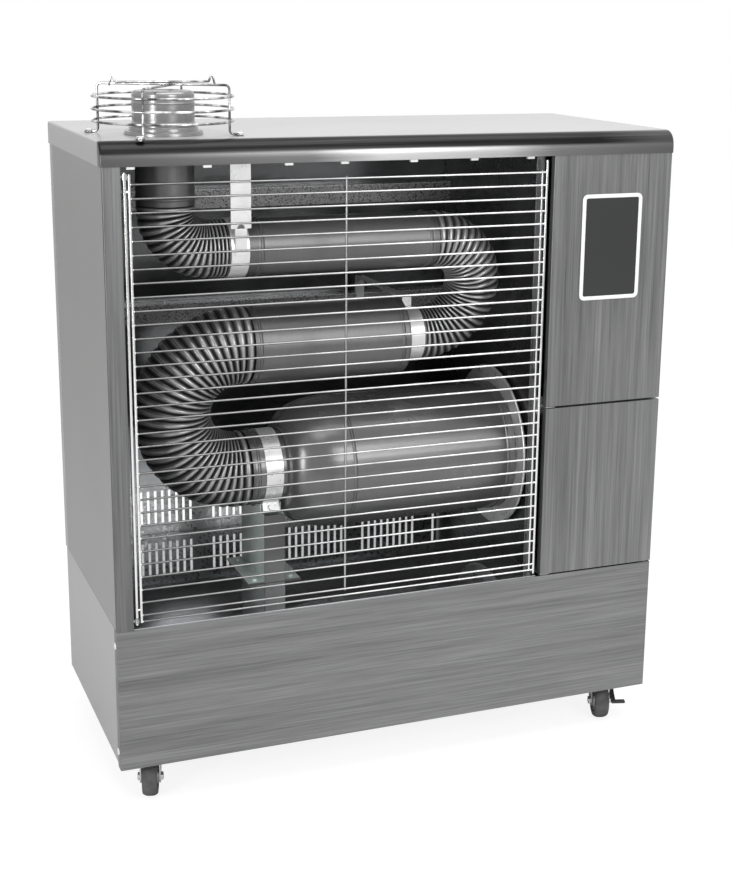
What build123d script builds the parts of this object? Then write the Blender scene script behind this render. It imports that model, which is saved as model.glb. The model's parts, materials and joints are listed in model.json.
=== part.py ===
"""Fuel-fired infrared cabinet heater: a sheet steel cabinet on casters with an oil burner,
a drum-shaped combustion chamber and a folded run of radiating pipe behind a wire grille.
Millimetres; X runs right across the front, Y runs from front to back, Z is up from the floor."""

import math
import os

from build123d import *

os.makedirs("parts", exist_ok=True)

# Cabinet
body_width = 900.0
body_depth = 412.0
skirt_bottom = 64.0
seam_height = 286.0
lid_bottom = 965.0
lid_top = 1000.0
lid_nose_radius = 26.0
lid_rear_radius = 6.0
sheet = 1.5
seat = 0.2
lid_overhang = sheet + seat
panel_top = 980.0
flange = 14.0
fascia_tuck = 9.0
pan_floor_height = 78.0
stile_width = 26.5
stile_return = 24.0
front_wrap = 18.0
screw_head = 5.6
screw_head_height = 1.5
screw_shank = 3.1
screw_length = 5.0
base_screw_heights = (92.0, 262.0)
rear_wrap = 24.0

# Radiant bay and burner bay
partition_x = 238.0
reflector_gap = 14.0
reflector_bottom = 380.0
left_lining_gap = 8.0
rail_depth = 26.0
rail_height = 32.0
upper_rail_bottom = 856.0
lower_rail_bottom = 668.0

# Rear slots
slot_width = 4.5
slot_height = 60.0
slot_pitch = 12.4
slots_per_group = 9
slot_groups = 5
slot_group_pitch = 140.5
slot_bottom = 305.0

# Doors
door_left = 244.0
door_seam = 568.0
door_gap = 3.0
door_depth = 18.0
door_flange = 12.0
hinge_inset = 7.0
pin_radius = 2.5
running_gap = 0.06
display_width = 105.0
display_height = 166.0
display_center_z = 821.0
display_frame = 6.0
display_corner = 8.0

# Radiating pipes
small_pipe_radius = 43.0
large_pipe_radius = 60.0
pipe_wall = 1.2
flue_x = -337.0
flue_y = -100.0
top_pipe_z = 831.0
middle_pipe_y = -55.0
middle_pipe_z = 671.0
chamber_y = -35.0
chamber_z = 466.0
flue_bend_radius = 60.0
right_bend_x = 84.0
left_bend_x = -219.0
left_crimp_lead = 14.0
left_plain_end = 4.0
flue_crimp_lead = 23.0
crimp_depth = 3.5
crimp_pitch_small = 12.4
crimp_pitch_large = 13.6
bead_height = 2.0
bead_width = 5.0
flue_spigot_end = -208.0
middle_pipe_right = 50.0
spigot_length = 30.0

# Combustion chamber
chamber_radius = 107.0
chamber_wall = 2.0
chamber_right = 226.0
neck_radius = 60.0
neck_end = -150.0
dome_end = -62.0
seam_ring_x = -52.0
end_ring_radius = 132.0
end_ring_rim = 3.0

# Clamps, strap and stand
band_thickness = 1.2
band_width = 28.0
band_gap = 0.2
strap_width = 31.0
strap_x = -236.0
collar_clamp_x = 66.0
neck_clamp_x = -170.0
arm_width = 16.0
stand_left = -187.0
stand_width = 34.0
stand_front = -90.0
stand_back = 40.0
foot_width = 26.0

# Flue outlet on the lid
collar_radius = 57.0
collar_step_radius = 50.0
collar_height = 12.0
cap_radius = 44.9
cap_height = 50.0
cap_foot = 1.6
riser_top = 1046.0
guard_radius = 101.0
guard_wire = 3.6
guard_heights = (1020.0, 1037.0, 1055.0)
guard_top = 1068.0
guard_leg_angles = (60.0, 150.0, 240.0, 330.0)
guard_ear_height = 1084.0
guard_ear_half = 73.0
guard_foot_reach = 9.0
guard_eye = 5.2

# Front grille
grille_wire = 3.2
grille_edge_wire = 4.4
grille_rod = 5.0
grille_y = -200.0
grille_rod_x = -418.0
grille_left = -411.0
grille_inner_right = 226.0
grille_right = 234.0
grille_top = 940.0
grille_pitch = 19.8
grille_wires = 33
grille_low_wire = 296.5
grille_mid_x = -91.0
bush_radius = 4.5

# Fuel tank and burner
tank_left = -200.0
tank_right = 432.0
tank_half_depth = 165.0
tank_height = 176.0
tank_corner = 22.0
tank_foot_height = 5.0
filler_x = 404.0
filler_y = -120.0
filler_radius = 24.0
filler_top = 322.0
blast_tube_radius = 40.0
blower_x = 346.0
blower_radius = 74.0
blower_width = 62.0
impeller_radius = 54.0
impeller_width = 40.0
impeller_blades = 12
shaft_radius = 4.0
motor_radius = 38.0
motor_length = 92.0
line_radius = 3.0

# Casters
caster_x = 392.0
caster_y = 152.0
caster_plate = 58.0
caster_plate_thickness = 2.5
wheel_radius = 30.0
wheel_width = 23.0
caster_trail = 20.0
caster_toe = 17.0
fork_gap = 2.0
fork_sheet = 2.5
axle_radius = 4.0
kingpin_radius = 5.0
race_height = 6.0
pedal_x = 6.0
pedal_z = 50.0
pedal_pin_radius = 3.0
pedal_width = 7.0

half_width = body_width / 2
half_depth = body_depth / 2
front_y = -half_depth
back_y = half_depth
base_screw_y = front_y + 10.0
reflector_y = back_y - sheet - seat - reflector_gap
floor_top = seam_height + seat + sheet
fork_top = pan_floor_height - seat - caster_plate_thickness - seat


def block(low_x, high_x, low_y, high_y, low_z, high_z):
    """A box given by its low and high limits on each axis."""
    size = Box(high_x - low_x, high_y - low_y, high_z - low_z, align=(Align.MIN, Align.MIN, Align.MIN))
    return Pos(low_x, low_y, low_z) * size


def rod(radius, start, end):
    """A round bar between two points."""
    start, end = Vector(start), Vector(end)
    along = Plane(origin=start, z_dir=end - start)
    return along * Cylinder(radius, (end - start).length, align=(Align.CENTER, Align.CENTER, Align.MIN))


def bar(radius, start, end, sides=6):
    """A straight wire or bolt of polygonal section between two points."""
    start, end = Vector(start), Vector(end)
    along = Plane(origin=start, z_dir=end - start)
    return extrude(along * RegularPolygon(radius, sides), amount=(end - start).length)


def pipe(radius, wall, start, end):
    """A round tube between two points."""
    return rod(radius, start, end) - rod(radius - wall, start, end)


def folded(points, gauge, plane, length):
    """A folded sheet: its outer line in the plane, set in to the right of travel by the gauge."""
    corners = [Vector(*point) for point in points]
    inner = []
    for number, here in enumerate(corners):
        before = (here - corners[number - 1]) if number else (corners[1] - here)
        after = (corners[number + 1] - here) if number < len(corners) - 1 else before
        normal_in = before.normalized().rotate(Axis.Z, -90)
        normal_out = after.normalized().rotate(Axis.Z, -90)
        mitre = (normal_in + normal_out) * (gauge / (1 + normal_in.dot(normal_out)))
        inner.append(here + mitre)
    outline = Polyline(*(corners + inner[::-1]), close=True)
    return extrude(plane * make_face(outline), amount=length)


def save(name, shape):
    """Write one node."""
    shape.label = name
    export_step(shape, f"parts/{name}.step")


# Base box


def base_screw_holes():
    """Holes through both wraps of the base's front panel and the walls behind them."""
    holes = []
    for side in (-1, 1):
        for screw_z in base_screw_heights:
            start = (side * (half_width - 2 * flange), base_screw_y, screw_z)
            holes.append(bar(screw_shank + 0.2, start, (side * (half_width + 1), base_screw_y, screw_z)))
    return holes


def base_front_panel():
    """Brushed front of the base, folded round both corners and along its top and bottom edges."""
    panel = folded(
        [
            (-half_width, front_y + front_wrap),
            (-half_width, front_y),
            (half_width, front_y),
            (half_width, front_y + front_wrap),
        ],
        -sheet,
        Plane.XY.offset(skirt_bottom),
        seam_height - skirt_bottom,
    )
    inside = half_width - sheet - seat - sheet - seat
    top_lip = block(-inside, inside, front_y, front_y + flange, seam_height - sheet, seam_height)
    bottom_lip = block(-inside, inside, front_y, front_y + flange, skirt_bottom, skirt_bottom + sheet)
    return panel + top_lip + bottom_lip - base_screw_holes()


def base_side_wall():
    """Left wall of the base, tucked under the front panel's wrap, with a flange at each edge."""
    outer = -half_width + sheet + seat
    start = front_y + sheet + seat
    end = back_y - sheet
    wall = folded(
        [(outer + flange, start), (outer, start), (outer, end), (outer + flange, end)],
        sheet,
        Plane.XY.offset(skirt_bottom + sheet + seat),
        seam_height - skirt_bottom - 2 * (sheet + seat),
    )
    lip_top = seam_height - sheet - seat
    lip = block(outer, outer + flange, start, end, lip_top - sheet, lip_top)
    return wall + lip


def base_back_wall():
    """Rear wall of the base with a lip that carries the upper cabinet."""
    reach = half_width - sheet - seat
    wall = folded(
        [(back_y - flange - sheet, seam_height), (back_y, seam_height), (back_y, skirt_bottom)],
        sheet,
        Plane(origin=(-reach, 0, 0), x_dir=(0, 1, 0), z_dir=(1, 0, 0)),
        2 * reach,
    )
    return wall


def base_walls():
    """Back and side walls of the base, welded at the rear corners."""
    left = base_side_wall()
    return base_back_wall() + left + left.mirror(Plane.YZ) - base_screw_holes()


def floor_pan():
    """Floor of the base, a shallow tray whose turned-up edges are fixed to the walls."""
    reach = half_width - 2 * (sheet + seat) - flange
    front = front_y + sheet + seat + flange
    back = back_y - sheet - seat - flange
    floor = block(-reach, reach, front, back, pan_floor_height, pan_floor_height + sheet)
    side_x = half_width - 2 * (sheet + seat)
    left = block(-side_x, -reach, front, back, pan_floor_height, pan_floor_height + sheet)
    right = block(reach, side_x, front, back, pan_floor_height, pan_floor_height + sheet)
    lips = []
    for low in (-side_x, side_x - sheet):
        lips.append(block(low, low + sheet, front, back, pan_floor_height, pan_floor_height + flange))
    return floor + left + right + lips


# Upper cabinet


def left_side_panel():
    """Left cabinet side: flanged behind the stile, stepped in behind the rear panel's wrap."""
    start = front_y + sheet + seat
    step = back_y - rear_wrap - seat
    stepped = -half_width + sheet + seat
    end = back_y - sheet - seat
    panel = folded(
        [
            (-half_width + flange, start),
            (-half_width, start),
            (-half_width, step),
            (stepped, step),
            (stepped, end),
            (stepped + flange, end),
        ],
        sheet,
        Plane.XY.offset(seam_height + seat),
        panel_top - seam_height - seat,
    )
    lip = block(-half_width, -half_width + flange, start, step, panel_top - sheet, panel_top)
    return panel + lip


def right_side_panel():
    """Right cabinet side: its front edge stops behind the doors."""
    start = front_y + door_depth + door_gap
    cut = block(half_width - flange - 1, half_width + 1, front_y, start, seam_height, lid_top)
    return left_side_panel().mirror(Plane.YZ) - cut


def left_stile():
    """Brushed upright between the left side and the grille."""
    inner = -half_width + stile_width
    points = [(-half_width, front_y), (inner, front_y), (inner, front_y + stile_return)]
    height = lid_bottom + fascia_tuck - seam_height - seat
    return folded(points, -sheet, Plane.XY.offset(seam_height + seat), height)


def slot_cutter():
    """Slots of the rear panel, in groups spread evenly about the middle."""
    slot = Box(slot_width, 4 * sheet, slot_height)
    places = []
    for group in range(slot_groups):
        group_x = (group - (slot_groups - 1) / 2) * slot_group_pitch
        for number in range(slots_per_group):
            slot_x = group_x + (number - (slots_per_group - 1) / 2) * slot_pitch
            places.append(Pos(slot_x, back_y, slot_bottom + slot_height / 2) * slot)
    return places


inlet_x = 350.0
inlet_z = 420.0
inlet_width = 28.0
inlet_height = 21.0
inlet_depth = 26.0


def back_panel():
    """Rear panel wrapped round both rear corners, slotted low down, with the mains inlet's window."""
    panel = folded(
        [
            (-half_width, back_y - rear_wrap),
            (-half_width, back_y),
            (half_width, back_y),
            (half_width, back_y - rear_wrap),
        ],
        sheet,
        Plane.XY.offset(seam_height + seat),
        panel_top - seam_height - seat,
    )
    window = block(
        inlet_x - inlet_width / 2 - seat,
        inlet_x + inlet_width / 2 + seat,
        back_y - flange,
        back_y + flange,
        inlet_z - inlet_height / 2 - seat,
        inlet_z + inlet_height / 2 + seat,
    )
    return panel - slot_cutter() - window


def lid():
    """Pressed lid, open below, with a large round nose along its front edge."""

    def crown(inset, bottom):
        depth = half_depth + lid_overhang - inset
        width = half_width + lid_overhang - inset
        solid = block(-width, width, -depth, depth, bottom, lid_top - inset)
        top_edges = solid.edges().filter_by(Axis.X).group_by(Axis.Z)[-1].sort_by(Axis.Y)
        solid = fillet(top_edges[0], lid_nose_radius - inset)
        top_edges = solid.edges().filter_by(Axis.X).group_by(Axis.Y)[-1].sort_by(Axis.Z)
        return fillet(top_edges[-1], lid_rear_radius - inset)

    shell = crown(0, lid_bottom) - crown(sheet, lid_bottom - sheet)
    flue_hole = rod(small_pipe_radius + 1, (flue_x, flue_y, lid_bottom), (flue_x, flue_y, lid_top + 1))
    screw_holes = []
    reach = guard_radius - guard_wire + 0.6 + guard_foot_reach + guard_eye
    for angle in guard_leg_angles:
        screw_x = flue_x + reach * math.cos(math.radians(angle))
        screw_y = flue_y + reach * math.sin(math.radians(angle))
        start = (screw_x, screw_y, lid_top - 3)
        screw_holes.append(bar(screw_shank + 0.2, start, (screw_x, screw_y, lid_top + 1)))
    return shell - flue_hole - screw_holes


def ceiling_plate():
    """Roof of the bays, turned up along its front edge behind the lid's nose."""
    reach = half_width - 2 * sheet - 2 * seat
    front = front_y + 2 * (sheet + seat)
    back = back_y - 2 * (sheet + seat)
    rise_left = -half_width + stile_width + seat
    rise = block(rise_left, door_left - seat, front, front + sheet, lid_bottom, lid_bottom + flange)
    plate = block(-reach, reach, front, back, lid_bottom, lid_bottom + sheet)
    hole = rod(small_pipe_radius + 2, (flue_x, flue_y, lid_bottom - 1), (flue_x, flue_y, lid_bottom + flange))
    top = lid_bottom + flange
    notch_back = front_y + door_depth + door_gap
    door_notch = block(door_left - seat, reach + 1, front - 1, notch_back, lid_bottom - 1, top)
    return plate + rise - hole - stile_notch(lid_bottom - 1, top) - door_notch


def stile_notch(low, high):
    """Corner notch that clears the folded stile."""
    right = -half_width + stile_width + seat
    return block(-half_width - 1, right, front_y - 1, front_y + stile_return + seat, low, high)


def bay_floor():
    """Polished floor of the radiant bay, lying on the base's lips."""
    left = -half_width + 2 * (sheet + seat)
    low = seam_height + seat
    right = partition_x - sheet - seat
    plate = block(left, right, front_y + sheet + seat, back_y - 2 * (sheet + seat), low, floor_top)
    return plate - stile_notch(low - 1, floor_top + 1)


def burner_shelf():
    """Floor of the burner bay, with a hole for the filler neck and a leaf for the door's lower pin."""
    right = half_width - 2 * (sheet + seat)
    low, high = seam_height + seat, floor_top
    shelf = block(
        partition_x - sheet,
        right,
        front_y + door_depth + door_gap,
        back_y - 2 * (sheet + seat),
        low,
        high,
    )
    leaf_x = door_left + hinge_inset
    leaf = block(leaf_x - 6, leaf_x + 10, front_y + 2, front_y + door_depth + door_gap + 1, low, high)
    hole = rod(filler_radius + 1, (filler_x, filler_y, low - 1), (filler_x, filler_y, high + 1))
    line_hole = rod(line_radius + 1, (suction_x, suction_y, low - 1), (suction_x, suction_y, high + 1))
    pin = rod(pin_radius, (leaf_x, hinge_y, high), (leaf_x, hinge_y, high + 10))
    return shelf + leaf - hole - line_hole + pin


hinge_y = front_y + hinge_inset
suction_x = 300.0
suction_y = -90.0


def partition_wall():
    """Wall between the bays, flanged at its front edge, pierced for the burner's blast tube."""
    outline = [
        (partition_x - flange, front_y + door_depth + door_gap),
        (partition_x, front_y + door_depth + door_gap),
        (partition_x, back_y - 2 * (sheet + seat)),
    ]
    wall = folded(
        outline, -sheet, Plane.XY.offset(floor_top + seat), lid_bottom - floor_top - 2 * seat
    )
    middle = (partition_x, chamber_y, chamber_z)
    hole = rod(
        blast_tube_radius + 1,
        (middle[0] - flange, middle[1], middle[2]),
        (middle[0] + flange, middle[1], middle[2]),
    )
    clip_y = grille_y + grille_edge_wire / 2 + 0.4
    clip = block(partition_x - 6, partition_x, clip_y, front_y + door_depth + door_gap + 1, 610, 626)
    return wall - hole + clip


def left_lining():
    """Reflecting sheet that lines the left side of the radiant bay, flanged out to the cabinet side."""
    outer = -half_width + sheet + seat
    face = outer + left_lining_gap
    front = front_y + stile_return + 20
    back = back_y - rear_wrap - 2 * (sheet + seat)
    return folded(
        [(outer, front), (face, front), (face, back), (outer, back)],
        sheet,
        Plane.XY.offset(floor_top + seat),
        lid_bottom - floor_top - 2 * seat,
    )


def back_reflector():
    """Mirror-bright sheet behind the pipes, flanged back to the rear panel above the slots."""
    rear = back_y - sheet - seat
    top = lid_bottom - seat
    left = -half_width + 2 * (sheet + seat) + left_lining_gap + flange
    return folded(
        [
            (rear, reflector_bottom),
            (reflector_y, reflector_bottom),
            (reflector_y, top),
            (rear, top),
        ],
        sheet,
        Plane(origin=(left, 0, 0), x_dir=(0, 1, 0), z_dir=(1, 0, 0)),
        partition_x - sheet - seat - left,
    )


def cross_rail(bottom):
    """Galvanised channel across the back of the radiant bay, open towards the rear."""
    front = reflector_y - seat - rail_depth
    rear = reflector_y - seat
    left = -half_width + 2 * (sheet + seat) + left_lining_gap + flange
    return folded(
        [(rear, bottom), (front, bottom), (front, bottom + rail_height), (rear, bottom + rail_height)],
        sheet,
        Plane(origin=(left, 0, 0), x_dir=(0, 1, 0), z_dir=(1, 0, 0)),
        partition_x - sheet - seat - left,
    )


def lid_clips():
    """Small bright clips under the lid's front edge."""
    clips = []
    for clip_x in (-409, -300, -180, -95, 13, 111, 205):
        clips.append(
            block(clip_x - 6, clip_x + 6, front_y + 3.4, front_y + 9, lid_bottom - 4.2, lid_bottom - seat)
        )
    return Compound(clips)


# Right-hand doors


def door_shell(low_z, high_z, left_depth):
    """A folded pan with a flange at each edge, its face on the cabinet's front."""
    face = block(door_left, half_width, front_y, front_y + sheet, low_z, high_z)
    left = block(door_left, door_left + sheet, front_y, front_y + left_depth, low_z, high_z)
    right = block(half_width - sheet, half_width, front_y, front_y + door_depth, low_z, high_z)
    lower = block(door_left, half_width, front_y, front_y + door_flange, low_z, low_z + sheet)
    upper = block(door_left, half_width, front_y, front_y + door_flange, high_z - sheet, high_z)
    return face + left + right + lower + upper


def control_panel():
    """Fixed upper panel with the display's window."""
    low = door_seam + door_gap / 2
    high = lid_bottom + fascia_tuck
    mid_x = (door_left + half_width) / 2
    window = block(
        mid_x - display_width / 2 + display_frame,
        mid_x + display_width / 2 - display_frame,
        front_y - 1,
        front_y + sheet + 1,
        display_center_z - display_height / 2 + display_frame,
        display_center_z + display_height / 2 - display_frame,
    )
    return door_shell(low, high, door_flange) - window


def lower_door():
    """Service door, bored top and bottom for its left-hand pins."""
    low = floor_top + 0.6
    high = door_seam - door_gap / 2
    shell = door_shell(low, high, door_flange)
    pin_x = door_left + hinge_inset
    bore = rod(pin_radius + running_gap, (pin_x, hinge_y, low - 1), (pin_x, hinge_y, high + 1))
    around = (pin_x - 4.4, pin_x + 4.4, hinge_y - 4.4, hinge_y + 4.4)
    boss = block(*around, low, low + 8)
    top_boss = block(*around, high - 8, high)
    strike_z = high - 30
    strike = block(half_width - 46, half_width - 20, front_y + sheet, front_y + 8, strike_z, strike_z + 14)
    return shell + boss + top_boss + strike - bore


def mid_rail():
    """Rail behind the seam of the doors, with the lower door's top pin on its leaf and its catch."""
    back = front_y + door_depth + door_gap
    leaf_low = door_seam - 0.75
    right = half_width - sheet - seat
    rail = block(partition_x + seat, right, back, back + sheet, door_seam - 14, door_seam + 14)
    shelf = block(partition_x + seat, right, back, back + 18, door_seam - 14, door_seam - 14 + sheet)
    leaf_x = door_left + hinge_inset
    leaf = block(leaf_x - 6, leaf_x + 10, front_y + 2, back + 1, leaf_low, leaf_low + sheet)
    pin = rod(pin_radius, (leaf_x, hinge_y, leaf_low), (leaf_x, hinge_y, leaf_low - 9))
    strike_low = door_seam - door_gap / 2 - 30
    catch = block(half_width - 50, half_width - 16, back - 12.6, back + 16, strike_low - 1, door_seam - 14)
    return rail + shelf + leaf + pin + catch


def display_bezel():
    """Pale raised frame round the display."""
    mid_x = (door_left + half_width) / 2
    outer = RectangleRounded(display_width, display_height, display_corner)
    inner = RectangleRounded(
        display_width - 2 * display_frame,
        display_height - 2 * display_frame,
        display_corner - display_frame + 2,
    )
    place = Plane(origin=(mid_x, front_y - seat, display_center_z), x_dir=(1, 0, 0), z_dir=(0, -1, 0))
    return extrude(place * (outer - inner), amount=1.6)


def display_glass():
    """Dark display window, its face just under the bezel's."""
    mid_x = (door_left + half_width) / 2
    clear = display_frame + seat
    pane = RectangleRounded(
        display_width - 2 * clear, display_height - 2 * clear, display_corner - display_frame + 1.6
    )
    place = Plane(
        origin=(mid_x, front_y + sheet + 1.2, display_center_z), x_dir=(1, 0, 0), z_dir=(0, -1, 0)
    )
    return extrude(place * pane, amount=sheet + 2.0)


def control_board():
    """Circuit board with its display module, on spacers behind the upper panel."""
    mid_x = (door_left + half_width) / 2
    face = front_y + sheet + 1.2 + seat
    module = block(mid_x - 44, mid_x + 44, face, face + 9, display_center_z - 74, display_center_z + 74)
    board = block(mid_x - 62, mid_x + 62, face + 9, face + 10.6, display_center_z - 92, display_center_z + 92)
    parts = module + board
    for side_x in (-56, 56):
        for side_z in (-86, 86):
            at_x, at_z = mid_x + side_x, display_center_z + side_z
            parts += block(at_x - 3, at_x + 3, front_y + sheet + seat, face + 9, at_z - 3, at_z + 3)
    for step in range(4):
        low = display_center_z - 70 + step * 36
        parts += block(mid_x - 40, mid_x - 14, face + 10.6, face + 24, low, low + 22)
    return parts


# Pipes


def elbow_rings(middle, outward, upward, bend_radius, sweep, leads, pitch, radius):
    """Section circles along a bend: crimps over each lead and over the whole arc between them."""
    middle, outward, upward = Vector(middle), Vector(outward), Vector(upward)
    steady = outward.cross(upward)
    arc = bend_radius * math.radians(sweep)
    rings = []

    def ring(travel, size):
        angle = min(max(travel, 0.0), arc) / bend_radius
        spoke = upward * math.cos(angle) + outward * math.sin(angle)
        heading = outward * math.cos(angle) - upward * math.sin(angle)
        beyond = travel if travel < 0 else max(travel - arc, 0.0)
        place = middle + spoke * bend_radius + heading * beyond
        rings.append(Plane(origin=place, x_dir=steady, z_dir=heading) * Circle(size))

    for low, high in ((-leads[0], 0.0), (0.0, arc), (arc, arc + leads[1])):
        count = round((high - low) / pitch)
        for number in range(count):
            ring(low + (high - low) * number / count, radius - crimp_depth)
            ring(low + (high - low) * (number + 0.55) / count, radius + 0.5)
    ring(arc + leads[1], radius - crimp_depth)
    return rings


def crimped_elbow(middle, outward, upward, bend_radius, sweep, leads, plain, pitch, radius):
    """A crimped sheet elbow with a plain bored end on each lead."""
    middle, outward, upward = Vector(middle), Vector(outward), Vector(upward)
    rings = elbow_rings(middle, outward, upward, bend_radius, sweep, leads, pitch, radius)
    body = loft(rings, ruled=True)
    turn = math.radians(sweep)
    start = middle + upward * bend_radius
    end = middle + (upward * math.cos(turn) + outward * math.sin(turn)) * bend_radius
    heading = outward * math.cos(turn) - upward * math.sin(turn)
    first = start - outward * (leads[0] + plain[0])
    last = end + heading * (leads[1] + plain[1])
    if plain[0]:
        body += rod(radius, first, start - outward * leads[0])
    if plain[1]:
        body += rod(radius, end + heading * leads[1], last)
    half = turn / 2
    crown = middle + (upward * math.cos(half) + outward * math.sin(half)) * bend_radius
    path = Line(first, start) + ThreePointArc(start, crown, end) + Line(end, last)
    bore = sweep_circle(path, first, outward, radius - crimp_depth - pipe_wall)
    return body - bore


def sweep_circle(path, start, heading, radius):
    """A round solid along a path."""
    section = Plane(origin=start, z_dir=heading) * Circle(radius)
    return sweep(section, path=path)


def tilt_frame(high, low):
    """Unit vector from the lower leg's axis to the upper leg's, and half their distance."""
    rise = Vector(0, high[0] - low[0], high[1] - low[1])
    return rise.normalized(), rise.length / 2


flue_bend_x = flue_x + flue_bend_radius
flue_bend_z = top_pipe_z + flue_bend_radius
flue_crimp_end = flue_bend_x + flue_crimp_lead
right_up, right_bend_radius = tilt_frame((flue_y, top_pipe_z), (middle_pipe_y, middle_pipe_z))
left_up, left_bend_radius = tilt_frame((middle_pipe_y, middle_pipe_z), (chamber_y, chamber_z))
pipe_left = left_bend_x + left_crimp_lead + left_plain_end


def flue_elbow():
    """Quarter-turn crimped elbow under the riser, with a plain spigot that the hanger clamps."""
    return crimped_elbow(
        (flue_bend_x, flue_y, flue_bend_z),
        (0, 0, -1),
        (-1, 0, 0),
        flue_bend_radius,
        90,
        (8, flue_crimp_lead),
        (0, flue_spigot_end - flue_crimp_end),
        crimp_pitch_small,
        small_pipe_radius,
    )


def right_elbow():
    """Half-turn crimped elbow that joins the top pipe to the middle pipe."""
    middle = (
        right_bend_x,
        (flue_y + middle_pipe_y) / 2,
        (top_pipe_z + middle_pipe_z) / 2,
    )
    lower_end = middle_pipe_right + spigot_length + seat
    return crimped_elbow(
        middle,
        (1, 0, 0),
        right_up,
        right_bend_radius,
        180,
        (0, 0),
        (8, right_bend_x - lower_end),
        crimp_pitch_small + 0.7,
        small_pipe_radius,
    )


def left_elbow():
    """Half-turn crimped elbow that joins the middle pipe to the chamber's neck."""
    middle = (
        left_bend_x,
        (middle_pipe_y + chamber_y) / 2,
        (middle_pipe_z + chamber_z) / 2,
    )
    return crimped_elbow(
        middle,
        (-1, 0, 0),
        left_up,
        left_bend_radius,
        180,
        (left_crimp_lead, left_crimp_lead),
        (left_plain_end, left_plain_end),
        crimp_pitch_large,
        large_pipe_radius,
    )


def beaded_pipe(radius, low_x, high_x, axis_y, axis_z, bead_xs):
    """A pipe along X with swaged beads, turned from one profile."""
    points = [(low_x, radius)]
    for bead_x in bead_xs:
        points.append((bead_x - bead_width / 2, radius))
        points.append((bead_x, radius + bead_height))
        points.append((bead_x + bead_width / 2, radius))
    points.append((high_x, radius))
    points.append((high_x, radius - pipe_wall))
    points.append((low_x, radius - pipe_wall))
    return turned(points, axis_y, axis_z)


def turned(points, axis_y, axis_z):
    """A solid of revolution about a line along X, from points of place and radius."""
    outline = Polyline(*[Vector(x, r) for x, r in points], close=True)
    return Pos(0, axis_y, axis_z) * revolve(make_face(outline), axis=Axis.X)


def top_pipe():
    """Upper straight pipe between the two small elbows."""
    low = flue_spigot_end + seat
    high = right_bend_x - 8 - seat
    return beaded_pipe(small_pipe_radius, low, high, flue_y, top_pipe_z, (low + 4, high - 4))


def middle_pipe():
    """Wide pipe closed at its right end by a plate with a smaller spigot."""
    low = pipe_left + seat
    high = middle_pipe_right
    wide, narrow = large_pipe_radius, small_pipe_radius
    bead_x = low + 4
    points = [
        (low, wide),
        (bead_x - bead_width / 2, wide),
        (bead_x, wide + bead_height),
        (bead_x + bead_width / 2, wide),
        (high, wide),
        (high, narrow),
        (high + spigot_length, narrow),
        (high + spigot_length, narrow - pipe_wall),
        (high - pipe_wall, narrow - pipe_wall),
        (high - pipe_wall, wide - pipe_wall),
        (low, wide - pipe_wall),
    ]
    return turned(points, middle_pipe_y, middle_pipe_z)


def riser():
    """Vertical flue pipe from the quarter elbow up through the lid."""
    start = flue_bend_z + 8 + seat
    return pipe(small_pipe_radius, pipe_wall, (flue_x, flue_y, start), (flue_x, flue_y, riser_top))


# Combustion chamber


def chamber_shell():
    """Spun drum with a domed left end that draws down to the neck, and a bead at its seam."""
    wall = chamber_wall

    def outline(inset):
        neck_start = pipe_left + seat
        neck = Line((neck_start, neck_radius - inset), (neck_end, neck_radius - inset))
        dome = Spline(
            (neck_end, neck_radius - inset),
            (neck_end + 14, neck_radius + 16 - inset),
            (dome_end, chamber_radius - inset),
            tangents=[(0.6, 1), (1, 0)],
        )
        barrel = Line((dome_end, chamber_radius - inset), (chamber_right, chamber_radius - inset))
        return neck, dome, barrel

    neck, dome, barrel = outline(0)
    inner_neck, inner_dome, inner_barrel = outline(wall)
    edges = [neck, dome, barrel]
    edges.append(Line(barrel @ 1, inner_barrel @ 1))
    edges += [inner_barrel, inner_dome, inner_neck]
    edges.append(Line(neck @ 0, inner_neck @ 0))
    shell = revolve(make_face(edges), axis=Axis.X)
    bead = turned(
        [
            (seam_ring_x - 3, chamber_radius - 0.5),
            (seam_ring_x - 1, chamber_radius + 2.2),
            (seam_ring_x + 1, chamber_radius + 2.2),
            (seam_ring_x + 3, chamber_radius - 0.5),
        ],
        0,
        0,
    )
    return Pos(0, chamber_y, chamber_z) * (shell + bead)


def chamber_end_ring():
    """End flange of the drum with a rolled bright rim, bolted to the partition."""
    low = chamber_right + seat
    high = partition_x - sheet - seat
    edge = end_ring_radius
    points = [
        (low, blast_tube_radius + 1),
        (low, edge + end_ring_rim),
        (low + 5, edge + end_ring_rim),
        (low + 5, edge),
        (low + 2, edge),
        (low + 2, blast_tube_radius + 16),
        (high, blast_tube_radius + 16),
        (high, blast_tube_radius + 1),
    ]
    return turned(points, chamber_y, chamber_z)


# Clamps, hanger and stand


def band(radius, middle_x, axis_y, axis_z, bolt_angle):
    """A clamp band round a pipe, closed by two ears and a bolt at the given angle from the front."""
    inner = radius + band_gap
    outer = inner + band_thickness
    low, high = middle_x - band_width / 2, middle_x + band_width / 2
    ring = rod(outer, (low, 0, 0), (high, 0, 0)) - rod(inner, (low, 0, 0), (high, 0, 0))
    ears = block(low, high, -outer - 14, -inner - 0.2, -3.2, 3.2)
    split = block(low - 1, high + 1, -outer - 20, -inner + 2, -0.7, 0.7)
    bolt = bar(3.2, (middle_x, -outer - 8, -8), (middle_x, -outer - 8, 8))
    head = bar(5.5, (middle_x, -outer - 8, 3.2), (middle_x, -outer - 8, 7.4))
    clamp = ring + ears - split + bolt + head
    return Pos(0, axis_y, axis_z) * Rot(bolt_angle, 0, 0) * clamp


def small_clamps():
    """Two like bands, round the quarter elbow's spigot and round the middle pipe's narrow spigot."""
    hanger = band(small_pipe_radius, strap_x, flue_y, top_pipe_z, 150)
    collar = band(small_pipe_radius, collar_clamp_x, middle_pipe_y, middle_pipe_z, 150)
    return Compound([hanger, collar])


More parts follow.
